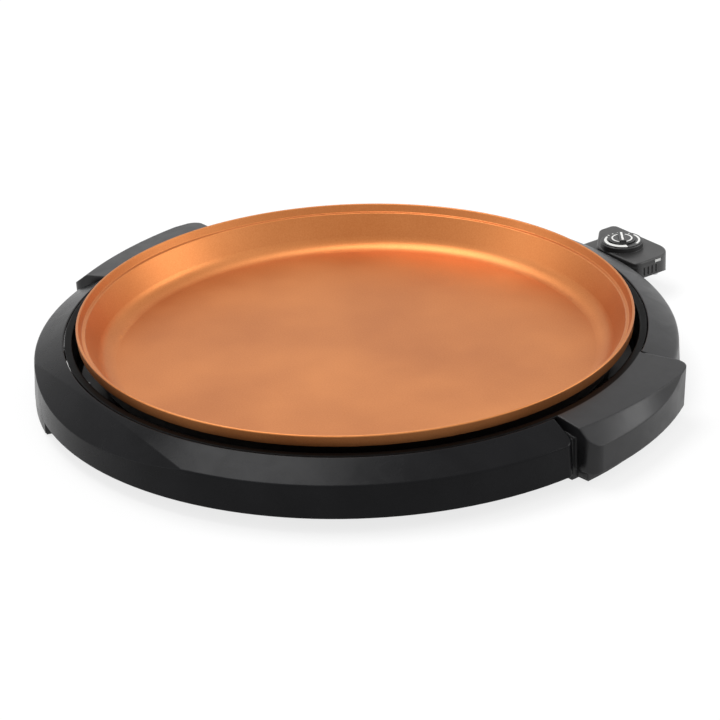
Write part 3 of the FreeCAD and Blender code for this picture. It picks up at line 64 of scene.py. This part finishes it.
def moulded_plastic(name, dark, light, gloss, grain_depth, ripple=0.0, shine=0.5, edge=0.0):
    """Black moulded plastic: fine mould grain, slight tone drift, a few rubbed patches."""
    material = bpy.data.materials.new(name)
    material.use_nodes = True
    tree = material.node_tree
    skin = tree.nodes["Principled BSDF"]
    skin.inputs["Base Color"].default_value = (*dark, 1)
    skin.inputs["Roughness"].default_value = gloss
    skin.inputs["Specular IOR Level"].default_value = shine
    place = tree.nodes.new("ShaderNodeTexCoord")

    tone = tree.nodes.new("ShaderNodeTexNoise")
    tone.inputs["Scale"].default_value = 26
    tone.inputs["Detail"].default_value = 4
    shade = tree.nodes.new("ShaderNodeValToRGB")
    shade.color_ramp.elements[0].position = 0.35
    shade.color_ramp.elements[0].color = (*dark, 1)
    shade.color_ramp.elements[1].position = 0.75
    shade.color_ramp.elements[1].color = (*light, 1)
    tree.links.new(place.outputs["Object"], tone.inputs["Vector"])
    tree.links.new(tone.outputs["Fac"], shade.inputs["Fac"])
    tree.links.new(shade.outputs["Color"], skin.inputs["Base Color"])

    rubbing = tree.nodes.new("ShaderNodeTexNoise")
    rubbing.inputs["Scale"].default_value = 60
    rubbing.inputs["Detail"].default_value = 6
    rubbing.inputs["Distortion"].default_value = 0.8
    sheen = tree.nodes.new("ShaderNodeMapRange")
    sheen.inputs["From Min"].default_value = 0.3
    sheen.inputs["From Max"].default_value = 0.7
    sheen.inputs["To Min"].default_value = gloss - 0.04
    sheen.inputs["To Max"].default_value = gloss + 0.05
    tree.links.new(place.outputs["Object"], rubbing.inputs["Vector"])
    tree.links.new(rubbing.outputs["Fac"], sheen.inputs["Value"])
    tree.links.new(sheen.outputs["Result"], skin.inputs["Roughness"])

    grain = tree.nodes.new("ShaderNodeTexNoise")
    grain.inputs["Scale"].default_value = 2600
    grain.inputs["Detail"].default_value = 2
    grain_bump = tree.nodes.new("ShaderNodeBump")
    grain_bump.inputs["Strength"].default_value = grain_depth
    grain_bump.inputs["Distance"].default_value = 0.0001
    tree.links.new(place.outputs["Object"], grain.inputs["Vector"])
    tree.links.new(grain.outputs["Fac"], grain_bump.inputs["Height"])
    if ripple:
        sink = tree.nodes.new("ShaderNodeTexNoise")
        sink.inputs["Scale"].default_value = 18
        sink.inputs["Detail"].default_value = 1
        sink_bump = tree.nodes.new("ShaderNodeBump")
        sink_bump.inputs["Strength"].default_value = ripple
        sink_bump.inputs["Distance"].default_value = 0.002
        tree.links.new(place.outputs["Object"], sink.inputs["Vector"])
        tree.links.new(sink.outputs["Fac"], sink_bump.inputs["Height"])
        tree.links.new(sink_bump.outputs["Normal"], grain_bump.inputs["Normal"])
    if edge:
        rounding = tree.nodes.new("ShaderNodeBevel")
        rounding.samples = 6
        rounding.inputs["Radius"].default_value = edge
        tree.links.new(rounding.outputs["Normal"], (sink_bump if ripple else grain_bump).inputs["Normal"])
    tree.links.new(grain_bump.outputs["Normal"], skin.inputs["Normal"])
    return material


def finish_cad(material, *names):
    """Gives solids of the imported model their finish."""
    for name in names:
        slots = nodes_of_object[name].data.materials
        for index in range(len(slots)):
            nodes_of_object[name].material_slots[index].material = material
        if not len(slots):
            slots.append(material)


ring_black = moulded_plastic("ring_black", (0.007, 0.007, 0.0078), (0.012, 0.0115, 0.0125), 0.36, 0.12, ripple=0.05,
                             shine=0.32, edge=0.0018)
# Painted shade on the lip: inward of 208.2 mm radius the ring's colour goes almost black and its reflection is turned
# down, standing in for the deep shadow in the gap between pan and ring.
lip_tree = ring_black.node_tree
lip_place = lip_tree.nodes.new("ShaderNodeTexCoord")
lip_flat = lip_tree.nodes.new("ShaderNodeVectorMath")
lip_flat.operation = "MULTIPLY"
lip_flat.inputs[1].default_value = (1, 1, 0)
lip_reach = lip_tree.nodes.new("ShaderNodeVectorMath")
lip_reach.operation = "LENGTH"
lip_shine = lip_tree.nodes.new("ShaderNodeMapRange")
lip_shine.inputs["From Min"].default_value = 0.2082
lip_shine.inputs["From Max"].default_value = 0.209
lip_shine.inputs["To Min"].default_value = 0.03
lip_shine.inputs["To Max"].default_value = 0.32
lip_tree.links.new(lip_place.outputs["Object"], lip_flat.inputs[0])
lip_tree.links.new(lip_flat.outputs["Vector"], lip_reach.inputs[0])
lip_tree.links.new(lip_reach.outputs["Value"], lip_shine.inputs["Value"])
lip_tree.links.new(lip_shine.outputs["Result"], lip_tree.nodes["Principled BSDF"].inputs["Specular IOR Level"])
lip_shade_mask = lip_tree.nodes.new("ShaderNodeMapRange")
lip_shade_mask.inputs["From Min"].default_value = 0.209
lip_shade_mask.inputs["From Max"].default_value = 0.2082
lip_painted_shade = lip_tree.nodes.new("ShaderNodeMixRGB")
lip_painted_shade.inputs["Color2"].default_value = (0.0015, 0.0014, 0.0013, 1)
lip_skin = lip_tree.nodes["Principled BSDF"].inputs["Base Color"]
lip_tree.links.new(lip_reach.outputs["Value"], lip_shade_mask.inputs["Value"])
lip_tree.links.new(lip_shade_mask.outputs["Result"], lip_painted_shade.inputs["Fac"])
lip_tree.links.new(lip_skin.links[0].from_socket, lip_painted_shade.inputs["Color1"])
lip_tree.links.new(lip_painted_shade.outputs["Color"], lip_skin)
finish_cad(ring_black, "base_ring")

# Ring covers: two hollow arcs of the same black plastic that close the ring in front and behind.
# Each is held by four screws from below; the skin is a little glossier than that of the ring.
cover_black = moulded_plastic("cover_black", (0.004, 0.004, 0.0047), (0.007, 0.007, 0.008), 0.25, 0.08, ripple=0.04,
                              shine=0.1, edge=0.0011)
finish_cad(cover_black, "front_cover")

# Rear cover: the hollow arc behind, moulded with a domed top that stays high out to its shoulder.
# Closed at both ends, it has a notch in its skirt for the control and four screw bosses inside.
rear_black = moulded_plastic("rear_black", (0.006, 0.006, 0.007), (0.01, 0.01, 0.0115), 0.34, 0.1, ripple=0.04,
                             shine=0.28, edge=0.0008)
REAR_START, REAR_END = 20.7, 159.3
CONTROL_DEGREES = 75.2
NOTCH_HALF = 7.25
NOTCH_TOP = 23.8
SKIRT_LOW = 10.0
REAR_END_WALL = 1.0
REAR_SCREWS = (38, 62, 118, 142)


def above_table(radius, turn, height):
    """A place in the ring given in millimetres and degrees, with its height above the table."""
    around = math.radians(turn)
    return Vector((radius * math.cos(around), radius * math.sin(around), height)) / 1000 + Vector((0, 0, TABLE))


def rear_section(turn, low, hollow, inset):
    """Places round the cover's wall at one angle: over the dome, down the skirt and back inside."""
    outside = [(209.2, 42.9), (209.5, 43.5), (210.1, 43.75)]
    for step in range(1, 9):
        run = 2.4 * step
        outside.append((210.1 + run, 43.75 - 0.27 * run - 0.0092 * run * run))
    outside += [(230.4, 34.2), (231.2, 32.9), (231.5, 31.2), (232.4, low)]
    inside = [(230.2, low), (229.3, 30.5), (226, 33.4), (219, 37), (212, 39.2), (209.2, 39.8)]
    outside = [(radius - inset * (radius > 225), height) for radius, height in outside]
    inside = [(radius - inset * (radius > 225), low + (height - low) * hollow) for radius, height in inside]
    return [above_table(radius, turn, height) for radius, height in outside + inside]


rear_turns = []
for turn, low, hollow, inset in ((REAR_START, SKIRT_LOW, 0, 1.0), (REAR_START + 0.2, SKIRT_LOW, 0, 0.35),
                                 (REAR_START + 0.6, SKIRT_LOW, 0, 0), (REAR_START + REAR_END_WALL, SKIRT_LOW, 0, 0)):
    rear_turns.append((turn, low, hollow, inset))
whole_turns = range(math.ceil(REAR_START + REAR_END_WALL), math.floor(REAR_END - REAR_END_WALL) + 1)
notch_low, notch_high = CONTROL_DEGREES - NOTCH_HALF, CONTROL_DEGREES + NOTCH_HALF
for turn in whole_turns:
    in_notch = notch_low < turn < notch_high
    rear_turns.append((turn, NOTCH_TOP if in_notch else SKIRT_LOW, 1, 0))
rear_turns += [(REAR_START + REAR_END_WALL + 0.02, SKIRT_LOW, 1, 0), (REAR_END - REAR_END_WALL - 0.02, SKIRT_LOW, 1, 0)]
for turn, inner in ((notch_low, 0.02), (notch_high, -0.02)):
    rear_turns += [(turn, SKIRT_LOW, 1, 0), (turn + inner, NOTCH_TOP, 1, 0)]
for turn, inset in ((0, 1.0), (0.2, 0.35), (0.6, 0), (REAR_END_WALL, 0)):
    rear_turns.append((REAR_END - turn, SKIRT_LOW, 0, inset))
rear_turns.sort()

rear_build = bmesh.new()
rear_rows = [[rear_build.verts.new(place) for place in rear_section(*turn)] for turn in rear_turns]
for near, far in zip(rear_rows, rear_rows[1:]):
    for side in range(len(near)):
        following = (side + 1) % len(near)
        rear_build.faces.new((near[side], near[following], far[following], far[side]))
rear_build.faces.new(rear_rows[0])
rear_build.faces.new(list(reversed(rear_rows[-1])))
BOSS_SIDES = 20
for turn in REAR_SCREWS:
    middle = above_table(216, turn, 0)
    rings = []
    for radius, height in ((1.5, 26), (1.5, 10.5), (3.6, 10.5), (3.8, 38)):
        ring = []
        for side in range(BOSS_SIDES):
            around = 2 * math.pi * side / BOSS_SIDES
            ring.append(rear_build.verts.new(middle + Vector((radius * math.cos(around), radius * math.sin(around),
                                                              height)) / 1000))
        rings.append(ring)
    for lower, upper in zip(rings, rings[1:]):
        for side in range(BOSS_SIDES):
            following = (side + 1) % BOSS_SIDES
            rear_build.faces.new((lower[side], lower[following], upper[following], upper[side]))
    rear_build.faces.new(rings[0])
    rear_build.faces.new(rings[-1])
bmesh.ops.remove_doubles(rear_build, verts=rear_build.verts, dist=1e-7)
bmesh.ops.recalc_face_normals(rear_build, faces=rear_build.faces)
rear_mesh = bpy.data.meshes.new("rear_cover_skin")
rear_build.to_mesh(rear_mesh)
rear_build.free()
rear_mesh.shade_smooth()
rear_mesh.set_sharp_from_angle(angle=math.radians(32))
rear_mesh.materials.append(rear_black)
rear_skin = bpy.data.objects.new("rear_cover_skin", rear_mesh)
bpy.context.scene.collection.objects.link(rear_skin)
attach(rear_skin, "base")
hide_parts("rear_cover")

# Foot pads: four strips of black silicone rubber pressed into the legs, dull and slightly dusty.
pad_rubber = moulded_plastic("pad_rubber", (0.02, 0.02, 0.02), (0.05, 0.05, 0.048), 0.62, 0.4)
finish_cad(pad_rubber, "foot_pads")

# Heat reflector and bottom plate: pressed sheets below the element. The upper one is rolled aluminised steel, darkened
# by heat and darker still as painted shade where it shows in the gap under the pan; the lower one steel with a thin
# black stoving paint.


def worked_metal(name, dark, light, gloss, line_scale, line_depth, metallic=1.0):
    """Rolled, drawn or plated metal with fine working lines and slight staining."""
    material = bpy.data.materials.new(name)
    material.use_nodes = True
    tree = material.node_tree
    skin = tree.nodes["Principled BSDF"]
    skin.inputs["Metallic"].default_value = metallic
    skin.inputs["Base Color"].default_value = (*dark, 1)
    skin.inputs["Roughness"].default_value = gloss
    place = tree.nodes.new("ShaderNodeTexCoord")
    stretch = tree.nodes.new("ShaderNodeMapping")
    stretch.inputs["Scale"].default_value = (1, 14, 14)
    tree.links.new(place.outputs["Object"], stretch.inputs["Vector"])

    lines = tree.nodes.new("ShaderNodeTexNoise")
    lines.inputs["Scale"].default_value = line_scale
    lines.inputs["Detail"].default_value = 3
    tree.links.new(stretch.outputs["Vector"], lines.inputs["Vector"])
    bump = tree.nodes.new("ShaderNodeBump")
    bump.inputs["Strength"].default_value = line_depth
    bump.inputs["Distance"].default_value = 0.0001
    tree.links.new(lines.outputs["Fac"], bump.inputs["Height"])
    tree.links.new(bump.outputs["Normal"], skin.inputs["Normal"])

    stain = tree.nodes.new("ShaderNodeTexNoise")
    stain.inputs["Scale"].default_value = 45
    stain.inputs["Detail"].default_value = 5
    shade = tree.nodes.new("ShaderNodeValToRGB")
    shade.color_ramp.elements[0].position = 0.3
    shade.color_ramp.elements[0].color = (*dark, 1)
    shade.color_ramp.elements[1].position = 0.7
    shade.color_ramp.elements[1].color = (*light, 1)
    dullness = tree.nodes.new("ShaderNodeMapRange")
    dullness.inputs["To Min"].default_value = gloss - 0.06
    dullness.inputs["To Max"].default_value = gloss + 0.1
    tree.links.new(place.outputs["Object"], stain.inputs["Vector"])
    tree.links.new(stain.outputs["Fac"], shade.inputs["Fac"])
    tree.links.new(stain.outputs["Fac"], dullness.inputs["Value"])
    tree.links.new(shade.outputs["Color"], skin.inputs["Base Color"])
    tree.links.new(dullness.outputs["Result"], skin.inputs["Roughness"])
    return material


# Partly painted shade: the reflector's colour is kept dark so that the gap under the pan reads as shadow.
fired_and_shaded_sheet = worked_metal("fired_and_shaded_sheet", (0.1, 0.1, 0.105), (0.19, 0.185, 0.18), 0.46, 260, 0.12)
finish_cad(fired_and_shaded_sheet, "heat_reflector")
painted_sheet = worked_metal("painted_sheet", (0.02, 0.02, 0.021), (0.04, 0.04, 0.04), 0.5, 300, 0.2, metallic=0.0)
finish_cad(painted_sheet, "bottom_plate")

# Heating element: a steel tube filled with magnesia round a coil, bent into one open loop.
# The sheath goes grey-green with firing.
fired_sheath = worked_metal("fired_sheath", (0.16, 0.165, 0.15), (0.3, 0.29, 0.26), 0.42, 500, 0.25)
finish_cad(fired_sheath, "heating_element")

# Clips, pan supports, brackets and screws: stamped or headed steel with a thin zinc plating.
zinc_plate = worked_metal("zinc_plate", (0.5, 0.51, 0.52), (0.66, 0.66, 0.64), 0.34, 420, 0.15)
finish_cad(zinc_plate, "element_clips", "pan_supports", "guide_saddle", "terminal_bracket", "base_screws",
           "cover_screws", "bracket_screws", "case_screws", "thermostat_frame", "dial_spindle", "spindle_clip")

# Socket behind the window: nickel-flashed brass pins in glazed ceramic bushes, with a drawn
# stainless guide for the sensing probe between them.
pin_brass = worked_metal("pin_brass", (0.62, 0.5, 0.26), (0.76, 0.68, 0.46), 0.26, 380, 0.1)
finish_cad(pin_brass, "terminal_pins", "contact_sleeves", "contact_arms")
drawn_stainless = worked_metal("drawn_stainless", (0.5, 0.5, 0.5), (0.68, 0.68, 0.67), 0.3, 520, 0.12)
finish_cad(drawn_stainless, "probe_guide", "probe_tube", "contact_rivets")
bush_ceramic = moulded_plastic("bush_ceramic", (0.7, 0.68, 0.62), (0.82, 0.8, 0.75), 0.3, 0.2)
finish_cad(bush_ceramic, "terminal_insulators", "arm_block")

# Pan: die-cast aluminium, turned at the rim and sprayed inside and out with a copper-coloured
# non-stick coating. The coating is satin, carries fine metal flake and is a little uneven; on the down-facing outside
# it is darkened with painted shade.
PAN_DEEP = (0.44, 0.14, 0.036)
PAN_WARM = (0.57, 0.22, 0.072)
PAN_UNDERSIDE_SHADE = (0.02, 0.014, 0.011)
pan_coating = bpy.data.materials.new("pan_coating")
pan_coating.use_nodes = True
coat_tree = pan_coating.node_tree
coat = coat_tree.nodes["Principled BSDF"]
coat.inputs["Metallic"].default_value = 0.88
coat.inputs["Roughness"].default_value = 0.4
coat.inputs["Base Color"].default_value = (*PAN_WARM, 1)
coat_place = coat_tree.nodes.new("ShaderNodeTexCoord")

flake = coat_tree.nodes.new("ShaderNodeTexVoronoi")
flake.inputs["Scale"].default_value = 1500
flake_tone = coat_tree.nodes.new("ShaderNodeTexNoise")
flake_tone.inputs["Scale"].default_value = 900
flake_tone.inputs["Detail"].default_value = 4
spray = coat_tree.nodes.new("ShaderNodeTexNoise")
spray.inputs["Scale"].default_value = 9
spray.inputs["Detail"].default_value = 5
spray_mix = coat_tree.nodes.new("ShaderNodeMath")
spray_mix.operation = "MULTIPLY_ADD"
spray_mix.inputs[1].default_value = 0.45
coat_shade = coat_tree.nodes.new("ShaderNodeValToRGB")
coat_shade.color_ramp.elements[0].position = 0.45
coat_shade.color_ramp.elements[0].color = (*PAN_DEEP, 1)
coat_shade.color_ramp.elements[1].position = 0.95
coat_shade.color_ramp.elements[1].color = (*PAN_WARM, 1)
coat_dull = coat_tree.nodes.new("ShaderNodeMapRange")
coat_dull.inputs["From Min"].default_value = 0.3
coat_dull.inputs["From Max"].default_value = 0.75
coat_dull.inputs["To Min"].default_value = 0.36
coat_dull.inputs["To Max"].default_value = 0.47
coat_bump = coat_tree.nodes.new("ShaderNodeBump")
coat_bump.inputs["Strength"].default_value = 0.25
coat_bump.inputs["Distance"].default_value = 0.0001
for pattern in (flake, flake_tone, spray):
    coat_tree.links.new(coat_place.outputs["Object"], pattern.inputs["Vector"])
coat_tree.links.new(flake_tone.outputs["Fac"], spray_mix.inputs[0])
coat_tree.links.new(spray.outputs["Fac"], spray_mix.inputs[2])
coat_tree.links.new(spray_mix.outputs["Value"], coat_shade.inputs["Fac"])
# Painted shade: where the pan's outside faces down (object normal Z from -0.03 to -0.34) its colour fades to an almost
# black brown, standing in for the shade under the rim and on the flank.
flank_side = coat_tree.nodes.new("ShaderNodeSeparateXYZ")
flank_shade_mask = coat_tree.nodes.new("ShaderNodeMapRange")
flank_shade_mask.inputs["From Min"].default_value = -0.03
flank_shade_mask.inputs["From Max"].default_value = -0.34
flank_painted_shade = coat_tree.nodes.new("ShaderNodeMixRGB")
flank_painted_shade.inputs["Color2"].default_value = (*PAN_UNDERSIDE_SHADE, 1)
coat_tree.links.new(coat_place.outputs["Normal"], flank_side.inputs["Vector"])
coat_tree.links.new(flank_side.outputs["Z"], flank_shade_mask.inputs["Value"])
coat_tree.links.new(flank_shade_mask.outputs["Result"], flank_painted_shade.inputs["Fac"])
coat_tree.links.new(coat_shade.outputs["Color"], flank_painted_shade.inputs["Color1"])
coat_tree.links.new(flank_painted_shade.outputs["Color"], coat.inputs["Base Color"])
coat_tree.links.new(spray.outputs["Fac"], coat_dull.inputs["Value"])
coat_tree.links.new(coat_dull.outputs["Result"], coat.inputs["Roughness"])
coat_tree.links.new(flake.outputs["Distance"], coat_bump.inputs["Height"])
coat_tree.links.new(coat_bump.outputs["Normal"], coat.inputs["Normal"])
finish_cad(pan_coating, "pan")

# Control case: two shells of fine-textured black plastic, screwed together from below, with the
# nose that enters the ring's window and a rubber bush for the supply lead.
case_black = moulded_plastic("case_black", (0.02, 0.0195, 0.0195), (0.03, 0.029, 0.029), 0.36, 0.3, shine=0.45,
                             edge=0.0008)
finish_cad(case_black, "control_upper_shell", "control_lower_shell", "control_nose")
bush_rubber = moulded_plastic("bush_rubber", (0.016, 0.016, 0.016), (0.028, 0.028, 0.028), 0.55, 0.3)
finish_cad(bush_rubber, "cord_gland")

# Pilot lamp: a small neon lamp behind a moulded clear window that is pressed into the case.
lamp_window = bpy.data.materials.new("lamp_window")
lamp_window.use_nodes = True
window_tree = lamp_window.node_tree
window_skin = window_tree.nodes["Principled BSDF"]
window_skin.inputs["Base Color"].default_value = (0.86, 0.86, 0.84, 1)
window_skin.inputs["Roughness"].default_value = 0.14
window_skin.inputs["Transmission Weight"].default_value = 0.35
window_place = window_tree.nodes.new("ShaderNodeTexCoord")
window_haze = window_tree.nodes.new("ShaderNodeTexNoise")
window_haze.inputs["Scale"].default_value = 900
window_rough = window_tree.nodes.new("ShaderNodeMapRange")
window_rough.inputs["To Min"].default_value = 0.08
window_rough.inputs["To Max"].default_value = 0.24
window_tree.links.new(window_place.outputs["Object"], window_haze.inputs["Vector"])
window_tree.links.new(window_haze.outputs["Fac"], window_rough.inputs["Value"])
window_tree.links.new(window_rough.outputs["Result"], window_skin.inputs["Roughness"])
finish_cad(lamp_window, "lamp_lens", "pilot_lamp")

# Dial: a thin black plate with a pale printed heat scale lies on the case's boss. The knob that
# turns over it is moulded in the case's black, with a printed ring and a pale pointer strip.
CONTROL_ANGLE = math.radians(CONTROL_DEGREES)
DIAL_CENTRE = 0.2553
plate_low, plate_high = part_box("dial_plate")
PLATE_TOP = plate_high[2]
PRINT_THICKNESS = 0.00004

dial_black = moulded_plastic("dial_black", (0.014, 0.014, 0.014), (0.022, 0.022, 0.022), 0.3, 0.15)
finish_cad(dial_black, "dial_plate", "dial_knob")
print_white = moulded_plastic("print_white", (0.72, 0.72, 0.7), (0.82, 0.82, 0.8), 0.4, 0.2)
finish_cad(print_white, "knob_pointer")


def at_dial(radius, turn, height):
    """A place on the dial: radius and turn about its axis, from the control's own radius."""
    along = CONTROL_ANGLE + turn
    return Vector((DIAL_CENTRE * math.cos(CONTROL_ANGLE) + radius * math.cos(along),
                   DIAL_CENTRE * math.sin(CONTROL_ANGLE) + radius * math.sin(along), height))


def printed_arc(name, start, end, widths, height, body):
    """A thin printed band that runs round the dial; widths gives its radii from start to end."""
    steps = max(6, int(abs(end - start) / math.radians(4)))
    mesh = bpy.data.meshes.new(name)
    build = bmesh.new()
    rows = []
    for step in range(steps + 1):
        part = step / steps
        turn = start + (end - start) * part
        inner = widths[0][0] + (widths[1][0] - widths[0][0]) * part
        outer = widths[0][1] + (widths[1][1] - widths[0][1]) * part
        rows.append([build.verts.new(at_dial(radius, turn, level))
                     for radius, level in ((inner, height), (inner, height + PRINT_THICKNESS),
                                           (outer, height + PRINT_THICKNESS), (outer, height))])
    closed = abs(abs(end - start) - 2 * math.pi) < 1e-6
    if closed:
        for vertex in rows.pop():
            build.verts.remove(vertex)
    count = len(rows)
    for index in range(count if closed else count - 1):
        near, far = rows[index], rows[(index + 1) % count]
        for side in range(4):
            build.faces.new((near[side], far[side], far[(side + 1) % 4], near[(side + 1) % 4]))
    if not closed:
        build.faces.new(rows[0])
        build.faces.new(list(reversed(rows[-1])))
    bmesh.ops.recalc_face_normals(build, faces=build.faces)
    build.to_mesh(mesh)
    build.free()
    band = bpy.data.objects.new(name, mesh)
    bpy.context.scene.collection.objects.link(band)
    band.data.materials.append(print_white)
    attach(band, body)
    return band


printed_arc("scale_wedge", math.radians(112), math.radians(246), ((0.0118, 0.0132), (0.0107, 0.015)),
            PLATE_TOP, "control")
for mark in range(5):
    middle = 24 + 19 * mark
    printed_arc("scale_mark_%d" % (mark + 1), math.radians(middle - 2), math.radians(middle + 2),
                ((0.0122, 0.0138), (0.0122, 0.0138)), PLATE_TOP, "control")
printed_arc("scale_end_arc", math.radians(-75), math.radians(5), ((0.0124, 0.014), (0.0124, 0.014)),
            PLATE_TOP, "control")
knob_low, knob_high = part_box("dial_knob")
KNOB_TOP = knob_high[2] - 0.0014
printed_arc("knob_ring", 0, 2 * math.pi, ((0.0069, 0.0081), (0.0069, 0.0081)), KNOB_TOP, "knob")

# Floor: a plain white studio table that takes the grill's soft shadow.
floor_mesh = bpy.data.meshes.new("floor")
reach = 8.0
floor_mesh.from_pydata([(-reach, -reach, 0), (reach, -reach, 0), (reach, reach, 0), (-reach, reach, 0)], [],
                       [(0, 1, 2, 3)])
floor = bpy.data.objects.new("floor", floor_mesh)
bpy.context.scene.collection.objects.link(floor)
floor.location = (0, 0, TABLE - 0.0003)
floor_white = bpy.data.materials.new("floor_white")
floor_white.use_nodes = True
floor_skin = floor_white.node_tree.nodes["Principled BSDF"]
floor_skin.inputs["Base Color"].default_value = (0.95, 0.95, 0.95, 1)
floor_skin.inputs["Roughness"].default_value = 0.9
floor_skin.inputs["Specular IOR Level"].default_value = 0.0
floor_tree = floor_white.node_tree
floor_glow = floor_tree.nodes.new("ShaderNodeEmission")
floor_glow.inputs["Color"].default_value = (1, 1, 1, 1)
floor_glow.inputs["Strength"].default_value = 1.0
floor_ray = floor_tree.nodes.new("ShaderNodeLightPath")
floor_direct = floor_tree.nodes.new("ShaderNodeMath")
floor_direct.operation = "MAXIMUM"
floor_seen = floor_tree.nodes.new("ShaderNodeMath")
floor_seen.operation = "MAXIMUM"
floor_share = floor_tree.nodes.new("ShaderNodeMath")
floor_share.operation = "MULTIPLY"
floor_share.inputs[1].default_value = 0.78
floor_blend = floor_tree.nodes.new("ShaderNodeMixShader")
floor_tree.links.new(floor_ray.outputs["Is Camera Ray"], floor_direct.inputs[0])
floor_tree.links.new(floor_ray.outputs["Is Glossy Ray"], floor_direct.inputs[1])
floor_tree.links.new(floor_direct.outputs["Value"], floor_seen.inputs[0])
floor_tree.links.new(floor_ray.outputs["Is Transmission Ray"], floor_seen.inputs[1])
floor_tree.links.new(floor_seen.outputs["Value"], floor_share.inputs[0])
floor_tree.links.new(floor_share.outputs["Value"], floor_blend.inputs["Fac"])
floor_tree.links.new(floor_skin.outputs["BSDF"], floor_blend.inputs[1])
floor_tree.links.new(floor_glow.outputs["Emission"], floor_blend.inputs[2])
floor_tree.links.new(floor_blend.outputs["Shader"], floor_tree.nodes["Material Output"].inputs["Surface"])
floor.data.materials.append(floor_white)

# Light: an even white room and three soft boxes, on the left, on the right and high above.
world = bpy.data.worlds.new("studio")
bpy.context.scene.world = world
world.use_nodes = True
world_tree = world.node_tree
room = world_tree.nodes["Background"]
room.inputs["Color"].default_value = (1, 1, 1, 1)
room.inputs["Strength"].default_value = 0.6
seen_white = world_tree.nodes.new("ShaderNodeBackground")
seen_white.inputs["Color"].default_value = (1, 1, 1, 1)
seen_white.inputs["Strength"].default_value = 1.0
ray = world_tree.nodes.new("ShaderNodeLightPath")
either = world_tree.nodes.new("ShaderNodeMath")
either.operation = "MAXIMUM"
any_ray = world_tree.nodes.new("ShaderNodeMath")
any_ray.operation = "MAXIMUM"
blend = world_tree.nodes.new("ShaderNodeMixShader")
world_tree.links.new(ray.outputs["Is Camera Ray"], either.inputs[0])
world_tree.links.new(ray.outputs["Is Glossy Ray"], either.inputs[1])
world_tree.links.new(either.outputs["Value"], any_ray.inputs[0])
world_tree.links.new(ray.outputs["Is Transmission Ray"], any_ray.inputs[1])
world_tree.links.new(any_ray.outputs["Value"], blend.inputs["Fac"])
world_tree.links.new(room.outputs["Background"], blend.inputs[1])
world_tree.links.new(seen_white.outputs["Background"], blend.inputs[2])
world_tree.links.new(blend.outputs["Shader"], world_tree.nodes["World Output"].inputs["Surface"])


def soft_box(name, azimuth, elevation, distance, width, depth, power):
    """A rectangular studio lamp that faces the middle of the pan."""
    lamp = bpy.data.objects.new(name, bpy.data.lights.new(name, "AREA"))
    bpy.context.scene.collection.objects.link(lamp)
    lamp.data.shape = "RECTANGLE"
    lamp.data.size = width
    lamp.data.size_y = depth
    lamp.data.energy = power
    turn, rise = math.radians(azimuth), math.radians(elevation)
    direction = Vector((math.cos(turn) * math.cos(rise), math.sin(turn) * math.cos(rise), math.sin(rise)))
    lamp.location = direction * distance
    lamp.rotation_euler = direction.to_track_quat("Z", "Y").to_euler()
    return lamp


soft_box("box_left", 222, 22, 2.4, 1.4, 0.8, 6)
soft_box("box_right", 42, 27, 2.4, 1.3, 0.8, 15)
soft_box("box_above", 178, 71, 2.2, 1.5, 1.1, 30)

# Camera: where the photograph was taken from, about two metres away and a quarter turn to the right.
DISTANCE = 2.0
ELEVATION = math.radians(25.8)
AZIMUTH = math.radians(-50.5)
ROLL = math.radians(2.25)
FOCAL_PX = 2756.8
away = Vector((math.cos(AZIMUTH) * math.cos(ELEVATION), math.sin(AZIMUTH) * math.cos(ELEVATION),
               math.sin(ELEVATION)))
level_right = Vector((0, 0, 1)).cross(away).normalized()
level_up = away.cross(level_right)
tilted_right = level_right * math.cos(ROLL) - level_up * math.sin(ROLL)
tilted_up = level_up * math.cos(ROLL) + level_right * math.sin(ROLL)
aim = tilted_up * (16.5 / FOCAL_PX * DISTANCE) + tilted_right * (2.6 / FOCAL_PX * DISTANCE)
back = (away * DISTANCE - aim).normalized()
camera_right = (tilted_right - back * tilted_right.dot(back)).normalized()
camera_up = back.cross(camera_right)
stand = Matrix((camera_right, camera_up, back)).transposed().to_4x4()
stand.translation = away * DISTANCE + Vector((0, 0, TABLE))
camera = bpy.data.objects.new("camera", bpy.data.cameras.new("camera"))
bpy.context.scene.collection.objects.link(camera)
camera.data.lens = FOCAL_PX / 720 * 36
camera.matrix_world = stand
bpy.context.scene.camera = camera
